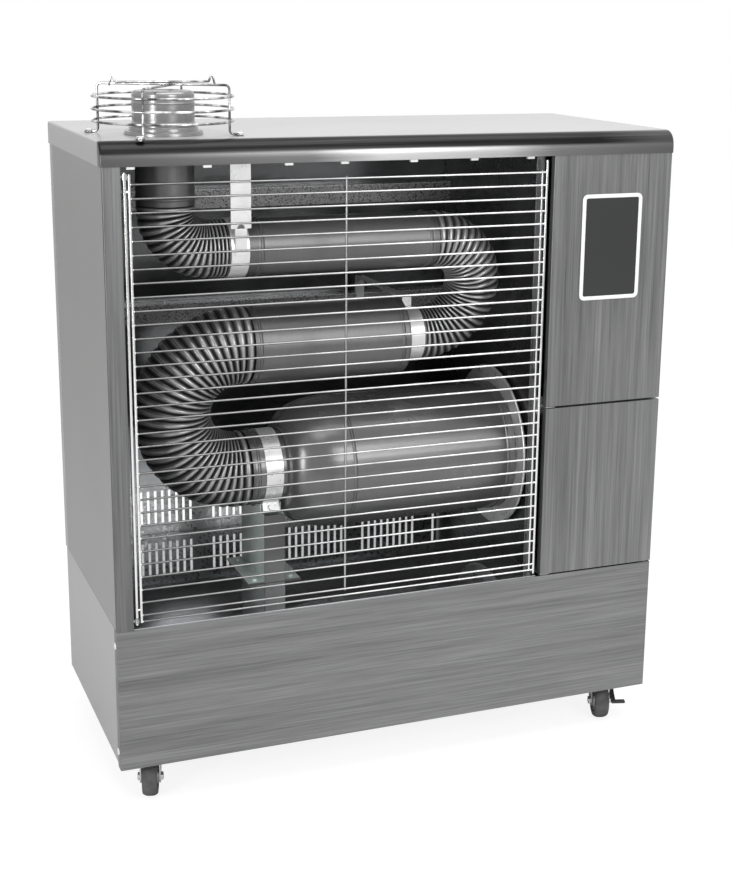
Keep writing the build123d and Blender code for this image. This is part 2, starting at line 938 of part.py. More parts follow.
def neck_clamp():
    """Band round the chamber's neck, bolted down to the stand."""
    return band(neck_radius, neck_clamp_x, chamber_y, chamber_z, 60)


def hanging_strap():
    """Bright strap that hangs the flue run from the ceiling plate, bent under the plate and notched."""
    band_outer = small_pipe_radius + band_gap + band_thickness
    strap_y = flue_y - band_outer - seat - sheet
    low = top_pipe_z + 34
    top = lid_bottom - seat
    face = block(strap_x - strap_width / 2, strap_x + strap_width / 2, strap_y, strap_y + sheet, low, top)
    foot = block(
        strap_x - strap_width / 2,
        strap_x + strap_width / 2,
        strap_y,
        strap_y + 18,
        top - sheet,
        top,
    )
    tongue = block(strap_x - 9, strap_x + 9, strap_y, strap_y + sheet, top_pipe_z - 6, low)
    notch = rod(6, (strap_x, strap_y - 1, low), (strap_x, strap_y + 3, low))
    return face + foot - notch + tongue


def pipe_arm(arm_x, arm_z, clamp_y, clamp_drop, rail_bottom):
    """Flat bar from a rear rail to a clamp, turned down at both ends."""
    rail_face = reflector_y - seat - rail_depth - seat
    half = arm_width / 2
    beam = block(arm_x - half, arm_x + half, clamp_y, rail_face, arm_z, arm_z + 3)
    rear = block(arm_x - half, arm_x + half, rail_face - 3, rail_face, rail_bottom + 6, arm_z + 3)
    front = block(arm_x - half, arm_x + half, clamp_y, clamp_y + 3, arm_z - clamp_drop, arm_z + 3)
    return beam + rear + front


def flue_arm():
    """Arm from the upper rail to the back of the hanger's clamp."""
    outer = small_pipe_radius + band_gap + band_thickness
    return pipe_arm(strap_x, top_pipe_z + 6, flue_y + outer + seat, 18, upper_rail_bottom - 40)


def collar_arm():
    """Arm from the lower rail over the middle pipe's right end to its clamp."""
    outer = small_pipe_radius + band_gap + band_thickness
    top = middle_pipe_z + outer + 12
    return pipe_arm(collar_clamp_x, top, middle_pipe_y + 2, 11.8, lower_rail_bottom)


def chamber_stand():
    """Folded stand under the neck: a front plate with two side plates cut to the neck, on flat feet."""
    left, right = stand_left, stand_left + stand_width
    top = chamber_z - 20
    walls = folded(
        [(left, stand_back), (left, stand_front), (right, stand_front), (right, stand_back)],
        -sheet,
        Plane.XY.offset(floor_top + seat),
        top - floor_top - seat,
    )
    low, high = floor_top + seat, floor_top + seat + sheet
    left_foot = block(left - foot_width, left + sheet, stand_front, stand_back, low, high)
    right_foot = block(right - sheet, right + foot_width, stand_front, stand_back, low, high)
    clearance = neck_radius + band_gap + band_thickness + band_gap
    seat_cut = rod(clearance, (left - 1, chamber_y, chamber_z), (right + 1, chamber_y, chamber_z))
    bolt_relief = block(left - 1, right + 1, stand_front - 1, chamber_y - 34, top - 46, top + 1)
    screws = []
    for screw_x in (left - foot_width / 2, right + foot_width / 2):
        for screw_y in (stand_front + 16, stand_back - 16):
            screws.append(bar(4.6, (screw_x, screw_y, high), (screw_x, screw_y, high + 2.6)))
    return walls + left_foot + right_foot - seat_cut - bolt_relief + screws


# Flue outlet on the lid


def flue_collar():
    """Stepped collar that closes the gap between the riser and the lid."""
    inner = small_pipe_radius + 0.25
    low = lid_top + seat
    step = low + collar_height / 2
    high = low + collar_height
    points = [
        (inner, low),
        (collar_radius, low),
        (collar_radius, step),
        (collar_step_radius, step),
        (collar_step_radius, high),
        (inner, high),
    ]
    return upright(points, flue_x, flue_y)


def upright(points, axis_x, axis_y):
    """A solid of revolution about a vertical line, from points of radius and height."""
    outline = Plane.XZ * Polyline(*[Vector(r, z) for r, z in points], close=True)
    return Pos(axis_x, axis_y, 0) * revolve(make_face(outline), axis=Axis.Z)


def flue_cap():
    """Round-topped cap over the riser's end, a little wider at its foot."""
    low = lid_top + 2 * seat + collar_height
    high = low + cap_height
    inner = small_pipe_radius + 0.25
    shell = upright(
        [
            (inner, low),
            (cap_radius + cap_foot, low),
            (cap_radius + cap_foot, low + 5),
            (cap_radius, low + 6),
            (cap_radius, high - 6),
            (cap_radius - 6, high),
            (0, high),
            (0, high - 6),
            (inner, high - 6),
        ],
        flue_x,
        flue_y,
    )
    return shell


def flue_guard():
    """Chrome wire guard: three rings, two crossing hoops on four legs, and a bar with upturned ears."""
    wire = guard_wire / 2
    centre = Vector(flue_x, flue_y, 0)
    pieces = []
    for height in guard_heights:
        section = Plane.XZ * Pos(guard_radius, height) * RegularPolygon(wire, 6)
        pieces.append(Pos(centre) * revolve(section, axis=Axis.Z))
    leg_radius = guard_radius - guard_wire + 0.6
    foot_z = lid_top + seat + wire
    for number, angle in enumerate(guard_leg_angles):
        spoke = Vector(math.cos(math.radians(angle)), math.sin(math.radians(angle)), 0)
        crossing = guard_top + (number % 2) * (guard_wire - 0.4)
        shoulder = centre + spoke * leg_radius + Vector(0, 0, crossing - 12)
        inward = centre + spoke * (leg_radius - 12) + Vector(0, 0, crossing)
        foot = centre + spoke * leg_radius + Vector(0, 0, foot_z)
        toe = centre + spoke * (leg_radius + guard_foot_reach) + Vector(0, 0, foot_z)
        pieces.append(bar(wire, foot - Vector(0, 0, wire * 0.9), shoulder + Vector(0, 0, 1)))
        pieces.append(bar(wire, shoulder, inward))
        pieces.append(bar(wire, inward + spoke, centre - spoke + Vector(0, 0, crossing)))
        pieces.append(bar(wire, foot, toe))
        eye = centre + spoke * (leg_radius + guard_foot_reach + guard_eye) + Vector(0, 0, foot_z)
        pieces.append(Pos(eye) * guard_eye_ring())
    bar_z = guard_top + 2 * guard_wire - 0.8
    left = Vector(flue_x - guard_ear_half, flue_y, bar_z)
    right = Vector(flue_x + guard_ear_half, flue_y, bar_z)
    pieces.append(bar(wire, left - Vector(wire, 0, 0), right + Vector(wire, 0, 0)))
    for end in (left, right):
        pieces.append(bar(wire, end, Vector(end.X, end.Y, guard_ear_height)))
    return pieces[0].fuse(*pieces[1:])


def guard_eye_ring():
    """Flattened eye at a leg's toe."""
    half = guard_wire / 2 - 0.1
    return Pos(0, 0, -half) * extrude(Circle(guard_eye + 1.6) - Circle(guard_eye - 1.6), amount=2 * half)


def screw(seat_point, outward):
    """One hexagon-headed sheet screw, its head standing outward from the seat point."""
    seat_point, outward = Vector(seat_point), Vector(outward)
    head = bar(screw_head, seat_point, seat_point + outward * screw_head_height)
    shank = bar(screw_shank, seat_point, seat_point - outward * screw_length)
    return head + shank


def panel_screws():
    """Like screws: one in each eye of the flue guard and two in each wrap of the base's front panel."""
    reach = guard_radius - guard_wire + 0.6 + guard_foot_reach + guard_eye
    screws = []
    for angle in guard_leg_angles:
        screw_x = flue_x + reach * math.cos(math.radians(angle))
        screw_y = flue_y + reach * math.sin(math.radians(angle))
        screws.append(screw((screw_x, screw_y, lid_top + 2 * seat + guard_wire), (0, 0, 1)))
    for side in (-1, 1):
        for screw_z in base_screw_heights:
            screws.append(screw((side * (half_width + 0.1), base_screw_y, screw_z), (side, 0, 0)))
    return Compound(screws)


# Front grille


def front_grille():
    """Welded wire grille that swings on its left rod."""
    wire = grille_wire / 2
    edge = grille_edge_wire / 2
    top = grille_top + 14
    low = grille_low_wire - 1
    pieces = [rod(grille_rod / 2, (grille_rod_x, grille_y, low - 3), (grille_rod_x, grille_y, top + 3))]
    pieces.append(bar(edge, (grille_left, grille_y, low), (grille_left, grille_y, top)))
    pieces.append(bar(edge, (grille_right, grille_y, low - 5), (grille_right, grille_y, top + 4)))
    pieces.append(bar(wire, (grille_inner_right, grille_y, low), (grille_inner_right, grille_y, top - 12)))
    for link_z in (low + 20, grille_top - 10):
        pieces.append(bar(wire, (grille_rod_x, grille_y, link_z), (grille_left, grille_y, link_z)))
    heights = [grille_top - number * grille_pitch for number in range(grille_wires)] + [grille_low_wire]
    for height in heights:
        pieces.append(bar(wire, (grille_left, grille_y, height), (grille_right, grille_y, height)))
    last = heights[-2]
    mid_y = grille_y + grille_wire - 0.8
    pieces.append(bar(wire, (grille_mid_x, mid_y, last - 3), (grille_mid_x, mid_y, grille_top + 3)))
    return pieces[0].fuse(*pieces[1:])


def grille_bushes():
    """Round bushes on short stalks that hold the ends of the grille's rod."""
    top = grille_top + 14
    low = grille_low_wire - 1
    stile_face = -half_width + stile_width
    bushes = []
    for height in (low + 4, top - 3):
        ball = rod(bush_radius, (grille_rod_x, grille_y, height - 4), (grille_rod_x, grille_y, height + 4))
        stalk = bar(2.8, (stile_face + seat, grille_y, height), (grille_rod_x, grille_y, height))
        bore = rod(
            grille_rod / 2 + running_gap,
            (grille_rod_x, grille_y, height - 9),
            (grille_rod_x, grille_y, height + 9),
        )
        bushes.append(ball + stalk - bore)
    return Compound(bushes)


# Fuel system and burner

tank_bottom = pan_floor_height + sheet + seat + tank_foot_height
tank_top = tank_bottom + tank_height


def fuel_tank():
    """Welded fuel tank on two feet, hollow, with a filler neck up into the burner bay."""

    def bulk(inset):
        solid = block(
            tank_left + inset,
            tank_right - inset,
            -tank_half_depth + inset,
            tank_half_depth - inset,
            tank_bottom + inset,
            tank_top - inset,
        )
        return fillet(solid.edges().filter_by(Axis.X), tank_corner - inset)

    neck = rod(filler_radius, (filler_x, filler_y, tank_top - tank_corner), (filler_x, filler_y, filler_top))
    bore_start = (filler_x, filler_y, tank_top - 2 * tank_corner)
    bore = rod(filler_radius - sheet, bore_start, (filler_x, filler_y, filler_top + 1))
    feet = []
    for foot_x in (tank_left + 80, tank_right - 120):
        feet.append(block(foot_x, foot_x + 40, -110, 110, tank_bottom - tank_foot_height, tank_bottom + 0.5))
    return bulk(0) + neck + feet - bulk(sheet) - bore


def filler_cap():
    """Screw cap over the filler neck, with a finger bar across its top."""
    inner = filler_radius + running_gap
    outer = filler_radius + 5
    low = filler_top - 14
    high = filler_top + 6
    cap = rod(outer, (filler_x, filler_y, low), (filler_x, filler_y, high))
    cap -= rod(inner, (filler_x, filler_y, low - 1), (filler_x, filler_y, filler_top + 0.4))
    wing = block(filler_x - outer + 4, filler_x + outer - 4, filler_y - 2.5, filler_y + 2.5, high, high + 9)
    return cap + wing


def fuel_pump():
    """Solenoid fuel pump on its bracket, standing on the burner shelf."""
    low = floor_top + seat
    bracket = block(suction_x - 26, suction_x + 26, suction_y + 12, suction_y + 50, low, low + 2)
    riser_plate = block(suction_x - 26, suction_x + 26, suction_y + 48, suction_y + 50, low, low + 46)
    body = rod(17, (suction_x, suction_y + 28, low + 6), (suction_x, suction_y + 28, low + 50))
    base = block(suction_x - 19, suction_x + 19, suction_y + 12, suction_y + 50, low, low + 10)
    return bracket + riser_plate + body + base


def suction_line():
    """Fuel pipe from the tank's lid up through the shelf to the pump."""
    top = floor_top + 30
    bottom = tank_top + seat
    path = FilletPolyline(
        (suction_x, suction_y, bottom),
        (suction_x, suction_y, top),
        (suction_x, suction_y + 28 - 17.2, top),
        radius=9,
    )
    return sweep(Plane(origin=path @ 0, z_dir=path % 0) * RegularPolygon(line_radius, 8), path=path)


blower_y = chamber_y
blower_z = chamber_z
blower_front = blower_y - blower_width / 2
blower_back = blower_y + blower_width / 2
flange_thickness = 6.0


def nozzle_line():
    """Fuel pipe from the pump's top up to the blast tube."""
    start_z = floor_top + seat + 50.2
    start = (suction_x, suction_y + 28, start_z)
    lift = chamber_z - blast_tube_radius - 14
    end_x = partition_x + flange_thickness + 14
    end_z = chamber_z - blast_tube_radius - 1.2
    path = FilletPolyline(
        start,
        (suction_x, suction_y + 28, lift - 12),
        (end_x, chamber_y, lift - 12),
        (end_x, chamber_y, end_z),
        radius=9,
    )
    return sweep(Plane(origin=path @ 0, z_dir=path % 0) * RegularPolygon(line_radius, 8), path=path)


def blast_tube():
    """Burner tube through the partition into the chamber, with its fixing flange."""
    low = partition_x - 70
    high = blower_x - blower_radius + 6
    tube = pipe(blast_tube_radius, 2, (low, chamber_y, chamber_z), (high, chamber_y, chamber_z))
    ring = rod(
        blast_tube_radius + 18,
        (partition_x + seat, chamber_y, chamber_z),
        (partition_x + seat + flange_thickness, chamber_y, chamber_z),
    )
    ring -= rod(
        blast_tube_radius - 1,
        (partition_x, chamber_y, chamber_z),
        (partition_x + 20, chamber_y, chamber_z),
    )
    housing_start = (blower_x, blower_front - 1, blower_z)
    housing = rod(blower_radius + seat, housing_start, (blower_x, blower_back + 1, blower_z))
    return tube + ring - housing


def blower_housing():
    """Round fan housing with an intake eye at the front and an outlet into the blast tube."""
    wall = 2.5
    outer = rod(blower_radius, (blower_x, blower_front, blower_z), (blower_x, blower_back, blower_z))
    inner = rod(
        blower_radius - wall,
        (blower_x, blower_front + wall, blower_z),
        (blower_x, blower_back - wall, blower_z),
    )
    eye = rod(34, (blower_x, blower_front - 1, blower_z), (blower_x, blower_front + wall + 1, blower_z))
    shaft_hole = rod(
        shaft_radius + 1, (blower_x, blower_back - wall - 1, blower_z), (blower_x, blower_back + 1, blower_z)
    )
    outlet = rod(
        blower_width / 2 - wall - 4,
        (blower_x - blower_radius - 1, blower_y, blower_z),
        (blower_x - 40, blower_y, blower_z),
    )
    legs = []
    for leg_x in (blower_x - 40, blower_x + 34):
        top = blower_z - math.sqrt(blower_radius**2 - (leg_x - blower_x) ** 2) + 4
        legs.append(block(leg_x, leg_x + 6, blower_y + 4, blower_y + 24, floor_top + seat, top + 8))
    return outer + legs - inner - eye - shaft_hole - outlet


def impeller():
    """Squirrel-cage fan wheel on the motor's shaft."""
    front = blower_y - impeller_width / 2
    back = blower_y + impeller_width / 2
    disc = rod(impeller_radius, (blower_x, back - 2, blower_z), (blower_x, back, blower_z))
    hub = rod(10, (blower_x, back - 14, blower_z), (blower_x, back, blower_z))
    shroud = pipe(impeller_radius, 6, (blower_x, front, blower_z), (blower_x, front + 2, blower_z))
    shaft = rod(shaft_radius, (blower_x, back - 14, blower_z), (blower_x, blower_back + 8, blower_z))
    blades = []
    blade = block(impeller_radius - 9, impeller_radius - 1, front + 1, back - 1, -0.8, 0.8)
    for number in range(impeller_blades):
        turn = Pos(blower_x, 0, blower_z) * Rot(0, 360 * number / impeller_blades, 0)
        blades.append(turn * blade)
    return disc.fuse(hub, shroud, shaft, *blades)


def blower_motor():
    """Finned motor on the back of the fan housing, bored for the shaft."""
    start = blower_back + seat
    end = start + motor_length
    body = rod(motor_radius, (blower_x, start, blower_z), (blower_x, end, blower_z))
    plate = rod(motor_radius + 12, (blower_x, start, blower_z), (blower_x, start + 4, blower_z))
    fins = []
    for number in range(2):
        at = start + 24 + number * 40
        fins.append(rod(motor_radius + 3, (blower_x, at, blower_z), (blower_x, at + 8, blower_z)))
    bore = rod(shaft_radius + running_gap, (blower_x, start - 1, blower_z), (blower_x, start + 24, blower_z))
    return body + plate + fins - bore


def mains_inlet():
    """Three-pin appliance inlet set in the rear panel, its socket open to the back."""
    half_w, half_h = inlet_width / 2, inlet_height / 2
    outer_y = back_y - 2.6
    inner_y = outer_y - inlet_depth
    low_z, high_z = inlet_z - half_h, inlet_z + half_h
    body = block(inlet_x - half_w, inlet_x + half_w, inner_y, outer_y + 2.4, low_z, high_z)
    ears = block(
        inlet_x - half_w - 10,
        inlet_x + half_w + 10,
        back_y - sheet - seat - 2,
        back_y - sheet - seat,
        inlet_z - half_h,
        inlet_z + half_h,
    )
    left, right = inlet_x - half_w + 3, inlet_x + half_w - 3
    socket = block(left, right, inner_y + 6, outer_y + 3, low_z + 3, high_z - 3)
    pins = []
    for pin_x, pin_z in ((-7, -2), (0, 2), (7, -2)):
        pins.append(
            block(
                inlet_x + pin_x - 1,
                inlet_x + pin_x + 1,
                outer_y - inlet_depth + 5,
                outer_y - 8,
                inlet_z + pin_z - 2,
                inlet_z + pin_z + 2,
            )
        )
    return body + ears - socket + pins


# Casters


def caster_fork(swivel_x, swivel_y, trail_angle, braked):
    """Bent fork hung on the kingpin, with its axle and nuts and, if braked, a pin for the pedal."""
    cheek = wheel_width / 2 + fork_gap
    cheek_low = wheel_radius - 9
    side_outline = make_face(
        Plane.XZ
        * Polyline(
            Vector(-16, fork_top),
            Vector(22, fork_top),
            Vector(caster_trail + 9, wheel_radius),
            Vector(caster_trail + 5, cheek_low),
            Vector(caster_trail - 5, cheek_low),
            Vector(caster_trail - 9, wheel_radius),
            Vector(-16, fork_top - 8),
            close=True,
        )
    )
    right = Pos(0, -cheek - fork_sheet, 0) * extrude(side_outline, amount=fork_sheet, dir=(0, 1, 0))
    left = Pos(0, cheek, 0) * extrude(side_outline, amount=fork_sheet, dir=(0, 1, 0))
    crown = block(-16, 22, -cheek - fork_sheet, cheek + fork_sheet, fork_top - fork_sheet, fork_top)
    race = rod(13, (0, 0, fork_top - race_height), (0, 0, fork_top))
    fork = right + left + crown + race
    fork -= rod(kingpin_radius + running_gap, (0, 0, fork_top - 10), (0, 0, fork_top + 1))
    reach = cheek + fork_sheet
    axle_start = (caster_trail, -reach - 4, wheel_radius)
    fork += rod(axle_radius, axle_start, (caster_trail, reach + 4, wheel_radius))
    for side in (-1, 1):
        start = (caster_trail, side * reach, wheel_radius)
        fork += bar(7, start, (caster_trail, side * (reach + 3.4), wheel_radius))
    if braked:
        pin_end = (pedal_x, reach + pedal_width + 2, pedal_z)
        fork += rod(pedal_pin_radius, (pedal_x, reach, pedal_z), pin_end)
        fork += bar(5, (pedal_x, reach + pedal_width + 0.6, pedal_z), pin_end)
    return Pos(swivel_x, swivel_y, 0) * Rot(0, 0, trail_angle) * fork


def caster_wheel(swivel_x, swivel_y, trail_angle):
    """Rubber-tyred wheel with a hub, bored for the axle."""
    half = wheel_width / 2
    hub_half = half + fork_gap - 0.4
    bore = axle_radius + running_gap
    quarter = [
        (hub_half, bore),
        (hub_half, 10),
        (half - 3, 11),
        (half, wheel_radius - 7),
        (half - 3, wheel_radius),
    ]
    points = [Vector(-x, r) for x, r in quarter] + [Vector(x, r) for x, r in quarter[::-1]]
    outline = Polyline(*points, close=True)
    spun = revolve(make_face(outline), axis=Axis.X)
    wheel = Pos(caster_trail, 0, wheel_radius) * Rot(0, 0, 90) * spun
    return Pos(swivel_x, swivel_y, 0) * Rot(0, 0, trail_angle) * wheel


def caster_plates(places):
    """Fixed top plates, each with a kingpin whose nut holds the fork up."""
    plates = []
    high = pan_floor_height - seat
    low = high - caster_plate_thickness
    half = caster_plate / 2
    for at_x, at_y, _ in places:
        plate = block(at_x - half, at_x + half, at_y - half, at_y + half, low, high)
        nut_top = fork_top - race_height - seat
        kingpin = rod(kingpin_radius, (at_x, at_y, nut_top - 5), (at_x, at_y, low + 0.5))
        nut = bar(9, (at_x, at_y, nut_top - 5), (at_x, at_y, nut_top))
        plates.append(plate + kingpin + nut)
    return Compound(plates)


def brake_pedal(swivel_x, swivel_y, trail_angle):
    """Swan-necked brake pedal that turns on the fork's pin, with a foot bar out to the side."""
    near = wheel_width / 2 + fork_gap + fork_sheet + 0.3
    far = near + pedal_width
    eye = rod(7, (pedal_x, near, pedal_z), (pedal_x, far, pedal_z))
    neck = extrude(
        Plane.XZ.offset(-far)
        * make_face(
            Polyline(
                Vector(pedal_x + 2, pedal_z + 6.6),
                Vector(pedal_x + 13, pedal_z + 3),
                Vector(pedal_x + 24, pedal_z - 6),
                Vector(pedal_x + 37, pedal_z - 13),
                Vector(pedal_x + 36, pedal_z - 16.5),
                Vector(pedal_x + 21, pedal_z - 10),
                Vector(pedal_x + 10, pedal_z - 2),
                Vector(pedal_x + 2, pedal_z - 2),
                close=True,
            )
        ),
        amount=far - near,
        dir=(0, -1, 0),
    )
    foot = block(pedal_x + 30, pedal_x + 38, near, far + 16, pedal_z - 17, pedal_z - 13)
    bore = rod(pedal_pin_radius + running_gap, (pedal_x, near - 1, pedal_z), (pedal_x, far + 1, pedal_z))
    pedal = eye + neck + foot - bore
    return Pos(swivel_x, swivel_y, 0) * Rot(0, 0, trail_angle) * pedal


trail_front = 270.0 - caster_toe
caster_places = [
    (-caster_x, -caster_y, trail_front),
    (caster_x, -caster_y, trail_front),
    (-caster_x, caster_y, trail_front),
    (caster_x, caster_y, trail_front),
]
caster_names = ("front_left", "front_right", "rear_left", "rear_right")


# Writing the nodes

save("base_front_panel", base_front_panel())
save("base_walls", base_walls())
save("floor_pan", floor_pan())
save("left_side_panel", left_side_panel())
save("right_side_panel", right_side_panel())
save("left_stile", left_stile())
save("back_panel", back_panel())
save("lid", lid())
save("ceiling_plate", ceiling_plate())
save("bay_floor", bay_floor())
save("burner_shelf", burner_shelf())
save("partition_wall", partition_wall())
save("left_lining", left_lining())
save("back_reflector", back_reflector())
save("rear_rails", Compound([cross_rail(upper_rail_bottom), cross_rail(lower_rail_bottom)]))
save("lid_clips", lid_clips())
save("control_panel", control_panel())
save("lower_door", lower_door())
save("mid_rail", mid_rail())
save("display_bezel", display_bezel())
save("display_glass", display_glass())
save("control_board", control_board())
save("flue_elbow", flue_elbow())
save("right_elbow", right_elbow())
save("left_elbow", left_elbow())
save("top_pipe", top_pipe())
save("middle_pipe", middle_pipe())
save("riser_pipe", riser())
save("chamber_shell", chamber_shell())
save("chamber_end_ring", chamber_end_ring())
save("small_clamps", small_clamps())
save("neck_clamp", neck_clamp())
save("hanging_strap", hanging_strap())
save("pipe_arms", Compound([flue_arm(), collar_arm()]))
save("chamber_stand", chamber_stand())
save("flue_collar", flue_collar())
save("flue_cap", flue_cap())
save("flue_guard", flue_guard())
save("panel_screws", panel_screws())
save("front_grille", front_grille())
save("grille_bushes", grille_bushes())
save("fuel_tank", fuel_tank())
save("filler_cap", filler_cap())
save("fuel_pump", fuel_pump())
save("fuel_lines", Compound([suction_line(), nozzle_line()]))
save("blast_tube", blast_tube())
save("blower_housing", blower_housing())
save("impeller", impeller())
save("blower_motor", blower_motor())
save("mains_inlet", mains_inlet())
save("caster_plates", caster_plates(caster_places))
for name, place in zip(caster_names, caster_places):
    save(f"caster_fork_{name}", caster_fork(*place, braked=name == "front_right"))
    save(f"caster_wheel_{name}", caster_wheel(*place))
save("brake_pedal", brake_pedal(*caster_places[1]))
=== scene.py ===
"""Looks of a fuel-fired infrared cabinet heater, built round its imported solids. Metres."""

import json
import math

import bmesh
import bpy
import numpy as np
from mathutils import Matrix, Vector


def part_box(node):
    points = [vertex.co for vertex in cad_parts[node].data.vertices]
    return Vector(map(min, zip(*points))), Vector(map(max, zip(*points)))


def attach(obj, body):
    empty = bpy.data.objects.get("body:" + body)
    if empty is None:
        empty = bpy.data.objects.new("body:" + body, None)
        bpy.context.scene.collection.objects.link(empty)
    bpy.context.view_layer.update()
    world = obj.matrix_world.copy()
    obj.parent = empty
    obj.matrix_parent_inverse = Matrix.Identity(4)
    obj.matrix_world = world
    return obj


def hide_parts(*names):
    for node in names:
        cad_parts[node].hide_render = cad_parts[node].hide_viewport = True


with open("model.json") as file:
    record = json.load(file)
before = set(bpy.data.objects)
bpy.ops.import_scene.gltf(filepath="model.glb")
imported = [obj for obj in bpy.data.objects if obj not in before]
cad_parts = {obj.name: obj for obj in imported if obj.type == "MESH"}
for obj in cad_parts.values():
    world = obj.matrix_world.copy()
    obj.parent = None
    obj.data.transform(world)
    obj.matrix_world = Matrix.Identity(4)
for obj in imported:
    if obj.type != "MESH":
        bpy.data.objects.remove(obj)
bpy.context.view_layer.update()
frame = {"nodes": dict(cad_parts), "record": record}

# ---- Camera. It stands to the left of the cabinet and a little above its lid. Its lens and its
# small shift frame a picture 890 pixels high.

eye = Vector((-0.86789, -2.30957, 1.17790))
yaw, pitch, roll = 0.3789, -0.2424, 0.0114
photo_height = 890
focal_pixels = 1542.56
axis_right, axis_up = 19.31, 53.85

forward = Vector((math.sin(yaw) * math.cos(pitch), math.cos(yaw) * math.cos(pitch), math.sin(pitch)))
level = Vector((math.cos(yaw), -math.sin(yaw), 0))
upright = level.cross(forward)
right = level * math.cos(roll) + upright * math.sin(roll)
up = upright * math.cos(roll) - level * math.sin(roll)
camera = bpy.data.objects.new("camera", bpy.data.cameras.new("camera"))
camera.matrix_world = Matrix.Translation(eye) @ Matrix((right, up, -forward)).transposed().to_4x4()
camera.data.sensor_width = 36
camera.data.lens = focal_pixels * 36 / photo_height
camera.data.shift_x = -axis_right / photo_height
camera.data.shift_y = -axis_up / photo_height
bpy.context.collection.objects.link(camera)
bpy.context.scene.camera = camera
bpy.context.scene.view_settings.view_transform = "Standard"


# ---- Studio. A pale paper floor runs out to a white background. One large soft lamp hangs above,
# a second stands in front to the right, and a narrow one at the left rakes along the cabinet.


class Socket:
    """One output of a node. Arithmetic on it adds Math nodes."""

    def __init__(self, finish, output):
        self.finish, self.output = finish, output

    def math(self, operation, *values):
        return self.finish.node("ShaderNodeMath", {"operation": operation}, *values)

    def __add__(self, other):
        return self.math("ADD", self, other)

    def __mul__(self, other):
        return self.math("MULTIPLY", self, other)

    def __sub__(self, other):
        return self.math("SUBTRACT", self, other)

    def __rsub__(self, other):
        return self.math("SUBTRACT", other, self)

    __radd__, __rmul__ = __add__, __mul__

    def between(self, low, high):
        """0 at low, 1 at high, held in between."""
        return self.finish.node("ShaderNodeMapRange", {}, self, low, high, 0.0, 1.0)


class Finish:
    """A Principled material under construction."""

    def __init__(self, name, **constants):
        self.material = bpy.data.materials.new(name)
        self.material.use_nodes = True
        self.tree = self.material.node_tree
        self.shader = self.tree.nodes["Principled BSDF"]
        for socket, value in constants.items():
            self.put(self.shader.inputs[socket.replace("_", " ")], value)

    def put(self, socket, value):
        """A link from a Socket, or a plain value; three numbers make an opaque colour."""
        if isinstance(value, Socket):
            self.tree.links.new(value.output, socket)
        elif isinstance(value, tuple) and len(value) == 3 and socket.type == "RGBA":
            socket.default_value = (*value, 1.0)
        else:
            socket.default_value = value

    def node(self, kind, settings, *values, output=0, **named):
        """Any node: its settings first, then its sockets by place or by name."""
        node = self.tree.nodes.new(kind)
        for key, value in settings.items():
            if key == "stops":
                while len(node.color_ramp.elements) < len(value):
                    node.color_ramp.elements.new(0.5)
                for element, (place, colour) in zip(node.color_ramp.elements, value):
                    element.position, element.color = place, (*colour, 1.0)
            else:
                setattr(node, key, value)
        for number, value in enumerate(values):
            self.put(node.inputs[number], value)
        for socket, value in named.items():
            self.put(node.inputs[socket.replace("_", " ")], value)
        return Socket(self, node.outputs[output])

    def feed(self, **links):
        """Links or values for the shader's own sockets, by name."""
        for socket, value in links.items():
            self.put(self.shader.inputs[socket.replace("_", " ")], value)

    def place(self, scale=(1, 1, 1)):
        """Object coordinates, stretched by a scale on each axis."""
        spot = self.node("ShaderNodeTexCoord", {}, output="Object")
        return self.node("ShaderNodeMapping", {}, Vector=spot, Scale=scale)

    def noise(self, scale, detail=3.0, rough=0.55, size=1.0):
        """Noise of about 0.5, with so many cells to a metre along each axis."""
        return self.node(
            "ShaderNodeTexNoise", {},
            Vector=self.place(scale), Scale=size, Detail=detail, Roughness=rough,
        )

    def ramp(self, factor, *stops):
        """A colour that runs from stop to stop, each a place from 0 to 1 and its colour."""
        return self.node("ShaderNodeValToRGB", {"stops": stops}, Fac=factor)

    def blend(self, factor, first, second):
        """The first colour where the factor is 0, the second where it is 1."""
        mix = self.tree.nodes.new("ShaderNodeMix")
        mix.data_type = "RGBA"
        for number, value in ((0, factor), (6, first), (7, second)):
            self.put(mix.inputs[number], value)
        return Socket(self, mix.outputs[2])

    def bump(self, height, strength, distance):
        """A normal tilted by the slope of the height, which is the distance at 1."""
        return self.node("ShaderNodeBump", {}, Strength=strength, Distance=distance, Height=height)


def grey(level, tint=0.0):
    """A grey, a little blue or warm by the tint."""
    return (level * (1 - tint), level, level * (1 + tint))


floor_finish = Finish("studio_floor", Roughness=0.6, Base_Color=grey(0.82))
light_path = floor_finish.node("ShaderNodeLightPath", {}, output="Is Camera Ray")
glow = floor_finish.tree.nodes.new("ShaderNodeEmission")
glow.inputs["Strength"].default_value = 1.2
mixer = floor_finish.tree.nodes.new("ShaderNodeMixShader")
floor_finish.put(mixer.inputs[0], light_path * 0.7)
floor_finish.tree.links.new(floor_finish.shader.outputs[0], mixer.inputs[1])
floor_finish.tree.links.new(glow.outputs[0], mixer.inputs[2])
floor_finish.tree.links.new(mixer.outputs[0], floor_finish.tree.nodes["Material Output"].inputs[0])
floor_mesh = bpy.data.meshes.new("studio_floor")
reach = 14.0
floor_mesh.from_pydata(
    [(-reach, -reach, 0), (reach, -reach, 0), (reach, reach, 0), (-reach, reach, 0)], [], [(0, 1, 2, 3)]
)
floor_mesh.materials.append(floor_finish.material)
floor = bpy.data.objects.new("studio_floor", floor_mesh)
bpy.context.collection.objects.link(floor)

